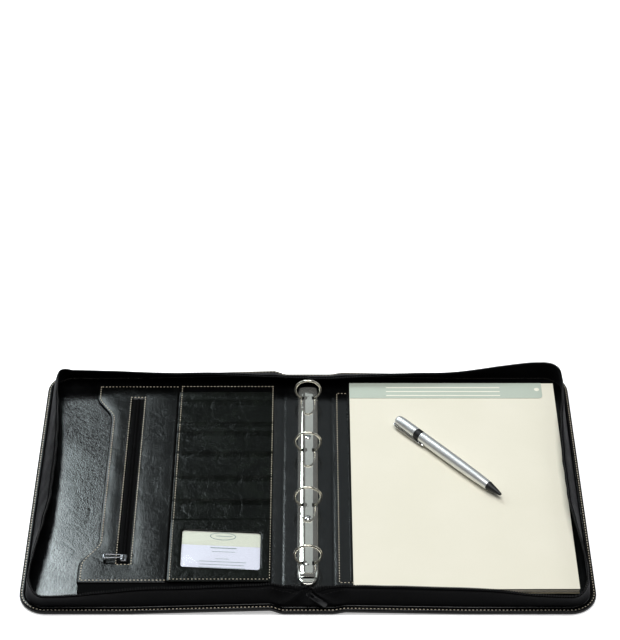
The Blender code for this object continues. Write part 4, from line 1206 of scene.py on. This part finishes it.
def header(body, low_x, high_y):
    """The pad's printed header: a sage band with three pale rules and a dot."""
    z = 12.2 * MM
    right, deep = 240.0 * MM, 24.0 * MM
    bottom = high_y - deep

    def band(inset):
        shape = []
        for x, y in rounded(low_x + inset, right - inset, bottom + inset, high_y - inset, 4.0 * MM, 8):
            square = x < low_x + 6 * MM or y > high_y - 6 * MM
            if square:
                x = low_x + inset if x < low_x + 6 * MM else right - inset
                y = bottom + inset if y < bottom + 6 * MM else high_y - inset
            shape.append((x, y))
        return shape

    make("pad_header_band", *plate(band, z - 0.15 * MM, z + 0.05 * MM, 0.02 * MM), "band", body,
         ["pad_header"])
    marks = []
    for y in (high_y - 7.4 * MM, high_y - 13.6 * MM, high_y - 19.8 * MM):
        def rule(inset, y=y):
            return rounded(80.0 * MM + inset, 197.0 * MM - inset, y - 0.75 * MM + inset,
                           y + 0.75 * MM - inset,
                           0.5 * MM, 3)
        marks.append(plate(rule, z, z + 0.12 * MM, 0.02 * MM))

    def dot(inset):
        return [(235.0 * MM + (2.6 * MM - inset) * math.cos(math.tau * i / 24),
                 high_y - 10.2 * MM + (2.6 * MM - inset) * math.sin(math.tau * i / 24)) for i in range(24)]

    marks.append(plate(dot, z, z + 0.12 * MM, 0.02 * MM))
    make("pad_header_marks", *merge(marks), "rule", body)


# ---------------------------------------------------------------- pen

PEN_TOP = Vector((90.0 * MM, 82.9 * MM, 18.5 * MM))
PEN_TIP = Vector((186.8 * MM, -28.1 * MM, 18.5 * MM))
PEN_RADIUS = 5.7 * MM
PEN_BAND_START = 0.195
PEN_BAND_END = 0.24
PEN_NOSE_START = 0.885
CLIP_ROLL = math.radians(26.0)


def pen():
    """The pen: cap, ring, barrel, nose and clip, turned about its own axis."""
    axis = PEN_TIP - PEN_TOP
    length = axis.length
    heading = axis.normalized()
    across = Vector(UP).cross(heading)
    place = Matrix.Translation(PEN_TOP) @ Matrix((across, Vector(UP), heading)).transposed().to_4x4()

    def turned(outline, sides=40):
        loops = []
        for along, radius in outline:
            loops.append([place @ Vector((radius * math.cos(t), radius * math.sin(t), along))
                          for t in (math.tau * i / sides for i in range(sides))])
        return loft(loops)

    r = PEN_RADIUS
    upper = [(0.0, 0.45 * r), (0.15 * MM, 0.62 * r), (0.7 * MM, 0.76 * r), (1.8 * MM, 0.86 * r),
             (4.0 * MM, 0.93 * r),
             (9.0 * MM, 0.98 * r), (0.12 * length, r), (PEN_BAND_START * length - 0.6 * MM, r),
             (PEN_BAND_START * length - 0.3 * MM, 0.96 * r)]
    make("pen_cap_barrel", *turned(upper), "silver", "pen_upper", ["pen_upper_barrel"], sharp=30.0)
    start, end = PEN_BAND_START * length, PEN_BAND_END * length
    band = [(start, 0.90 * r), (start + 0.2 * MM, 0.97 * r), (0.5 * (start + end), 0.99 * r),
            (end - 0.2 * MM, 0.97 * r),
            (end, 0.90 * r)]
    make("pen_ring", *turned(band), "rubber", "pen", ["pen_band"])
    low, high = end + 0.3 * MM, PEN_NOSE_START * length
    lower = [(low, 0.96 * r), (low + 0.3 * MM, r), (0.45 * length, r), (0.62 * length, 0.985 * r),
             (0.78 * length, 0.91 * r), (high - 1.0 * MM, 0.80 * r), (high - 0.3 * MM, 0.77 * r)]
    make("pen_lower_barrel", *turned(lower), "silver", "pen", ["pen_barrel"], sharp=30.0)
    tip = [(high, 0.74 * r), (high + 0.4 * MM, 0.78 * r), (high + 2.4 * MM, 0.70 * r),
           (0.965 * length, 0.42 * r),
           (0.985 * length, 0.30 * r), (0.995 * length, 0.26 * r), (length, 0.16 * r)]
    make("pen_nose", *turned(tip), "rubber", "pen", ["pen_tip"], sharp=30.0)
    turn = place @ Matrix.Rotation(math.pi + CLIP_ROLL, 4, "Z")
    loops = []
    # The clip's sections: (along, out from the axis, thickness, width) in mm
    for along, out, thick, wide in ((1.2, 5.0, 1.4, 3.4), (1.6, 5.6, 1.6, 3.6), (2.6, 6.3, 1.5, 3.7),
                                    (4.6, 7.0, 1.2, 3.8),
                                    (8.0, 7.35, 0.9, 3.7), (20.0, 7.3, 0.8, 3.2), (34.0, 6.9, 0.8, 2.7),
                                    (39.5, 6.6, 1.2, 2.6), (42.0, 6.3, 1.5, 2.5), (43.4, 6.5, 1.1, 2.2),
                                    (44.0, 6.9, 0.5, 1.4)):
        section = rounded(out - 0.5 * thick, out + 0.5 * thick, -0.5 * wide, 0.5 * wide,
                          0.24 * min(thick, wide) + 0.05, 3)
        loops.append([turn @ Vector((px * MM, py * MM, along * MM)) for px, py in section])
    make("pen_spring_clip", *loft(loops), "chrome", "pen_upper", ["pen_clip"], sharp=45.0)


# ---------------------------------------------------------------- main zip slider

SLIDER_LEAN = math.radians(24.0)
TAB_SWING = math.radians(55.0)
TAB_STAND = 4.1 * MM


def main_slider():
    """The main zip's slider at the foot of the spine, and the tab that hangs from it."""
    up = Vector((0.0, math.sin(SLIDER_LEAN), math.cos(SLIDER_LEAN)))
    out = Vector((0.0, -math.cos(SLIDER_LEAN), math.sin(SLIDER_LEAN)))
    low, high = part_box("main_zip_slider")
    centre = (low + high) * 0.5
    place = Matrix.Translation(centre) @ Matrix((Vector((1.0, 0.0, 0.0)), up, -out)).transposed().to_4x4()
    wing = pinched(3.5 * MM, 4.0 * MM, 1.8 * MM, 0.2, 1.0 * MM, 1.5 * MM)
    make("main_slider_body", *plate(wing, -1.6 * MM, 1.1 * MM, 0.4 * MM, 0.2 * MM, place), "black",
         "spine",
         ["main_zip_slider"])
    fall = Vector((math.sin(TAB_SWING), 0.0, 0.0)) - up * math.cos(TAB_SWING)
    turn = Matrix((fall, fall.cross(out), out)).transposed().to_4x4()
    outer = rounded(-1.2 * MM, 20.8 * MM, -2.5 * MM, 2.5 * MM, 1.6 * MM, 7)
    inner = rounded(0.6 * MM, 6.6 * MM, -1.2 * MM, 1.2 * MM, 1.0 * MM, 7)
    section = [(0.0, -0.3), (0.06, -0.6), (0.94, -0.6), (1.0, -0.3), (1.0, 0.3), (0.94, 0.6), (0.06, 0.6),
               (0.0, 0.3)]
    tab = link(outer, inner, section, Matrix.Translation(centre + out * TAB_STAND) @ turn)
    make("main_pull_tab", *tab, "black", "main_pull", ["main_zip_pull"])


# ---------------------------------------------------------------- stage

# Each light: name, place, aim, width and height in metres, watts
LIGHTS = [
    ("key", (0.0, -0.5, 2.9), (0.0, 0.0, 0.0), 2.4, 2.0, 80.0),
    ("back_left", (-0.74, 1.50, 1.66), (-0.2, 0.0, 0.0), 0.54, 0.78, 16.5),
    ("back_middle", (0.16, 2.20, 2.05), (0.0, 0.0, 0.0), 0.95, 1.25, 1.75),
    ("left_back", (-1.5, 1.0, 1.1), (0.0, 0.0, 0.0), 0.9, 0.9, 7.0),
    ("right", (2.2, 0.1, 1.1), (0.0, 0.0, 0.0), 1.0, 1.4, 5.0),
    ("right_back", (1.5, 1.0, 1.1), (0.0, 0.0, 0.0), 0.9, 0.9, 2.2),
]
COOL_WHITE = (0.88, 0.98, 1.0)
WHITE = (1.0, 1.0, 1.0)
VIEW_GAMMA = 0.85
FLOOR_REACH = 6.0
CAMERA_PLACE = (0.0001, -1.6117, 1.4860)
CAMERA_LENS = 125.07
CAMERA_ANGLES = (0.063, 38.333, 0.05)


def stage():
    """The floor, the studio lights and the camera."""
    scene = bpy.context.scene
    scene.view_settings.view_transform = "Standard"
    scene.view_settings.gamma = VIEW_GAMMA
    world = bpy.data.worlds.new("studio")
    world.use_nodes = True
    world.node_tree.nodes["Background"].inputs["Color"].default_value = (0.93, 0.95, 1.0, 1.0)
    world.node_tree.nodes["Background"].inputs["Strength"].default_value = 0.05
    scene.world = world
    floor_mesh = bpy.data.meshes.new("floor")
    corners = [(x * FLOOR_REACH, y * FLOOR_REACH, 0.0) for x, y in ((-1, -1), (1, -1), (1, 1), (-1, 1))]
    floor_mesh.from_pydata(corners, [], [(0, 1, 2, 3)])
    floor = bpy.data.objects.new("floor", floor_mesh)
    floor.location.z = -0.4 * MM
    sweep = Paint("floor_white", (0.92, 0.92, 0.92), 0.8, Emission_Color=(1.0, 1.0, 1.0, 1.0),
                  Emission_Strength=0.5)
    floor_mesh.materials.append(sweep.material)
    bpy.context.collection.objects.link(floor)
    for name, place, aim, wide, tall, power in LIGHTS:
        light = bpy.data.lights.new(name, "AREA")
        light.shape = "RECTANGLE"
        light.size, light.size_y, light.energy = wide, tall, power
        light.color = COOL_WHITE if "back" in name else WHITE
        item = bpy.data.objects.new(name, light)
        item.location = place
        item.rotation_euler = (Vector(aim) - Vector(place)).to_track_quat("-Z", "Y").to_euler()
        bpy.context.collection.objects.link(item)
    camera = bpy.data.cameras.new("camera")
    camera.lens = CAMERA_LENS
    camera.sensor_width = 36.0
    item = bpy.data.objects.new("camera", camera)
    yaw, pitch, tilt = (math.radians(angle) for angle in CAMERA_ANGLES)
    ahead = Vector((math.sin(yaw) * math.cos(pitch), math.cos(yaw) * math.cos(pitch), -math.sin(pitch)))
    level = ahead.cross(Vector(UP)).normalized()
    above = level.cross(ahead)
    right = math.cos(tilt) * level + math.sin(tilt) * above
    top = -math.sin(tilt) * level + math.cos(tilt) * above
    turn = Matrix((right, top, -ahead)).transposed().to_4x4()
    item.matrix_world = Matrix.Translation(CAMERA_PLACE) @ turn
    bpy.context.collection.objects.link(item)
    scene.camera = item


def repaint():
    """Give the ring blades, the CAD nodes that still show, their finish."""
    for name in ("ring_blade_left", "ring_blade_right"):
        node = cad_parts[name]
        node.data.materials.clear()
        node.data.materials.append(PAINTS["chrome"])


stage()
covers()
gussets()
zip_panel()
pocket_zip()
organiser_panels()
housing()
rings()
pad()
pen()
main_slider()
repaint()
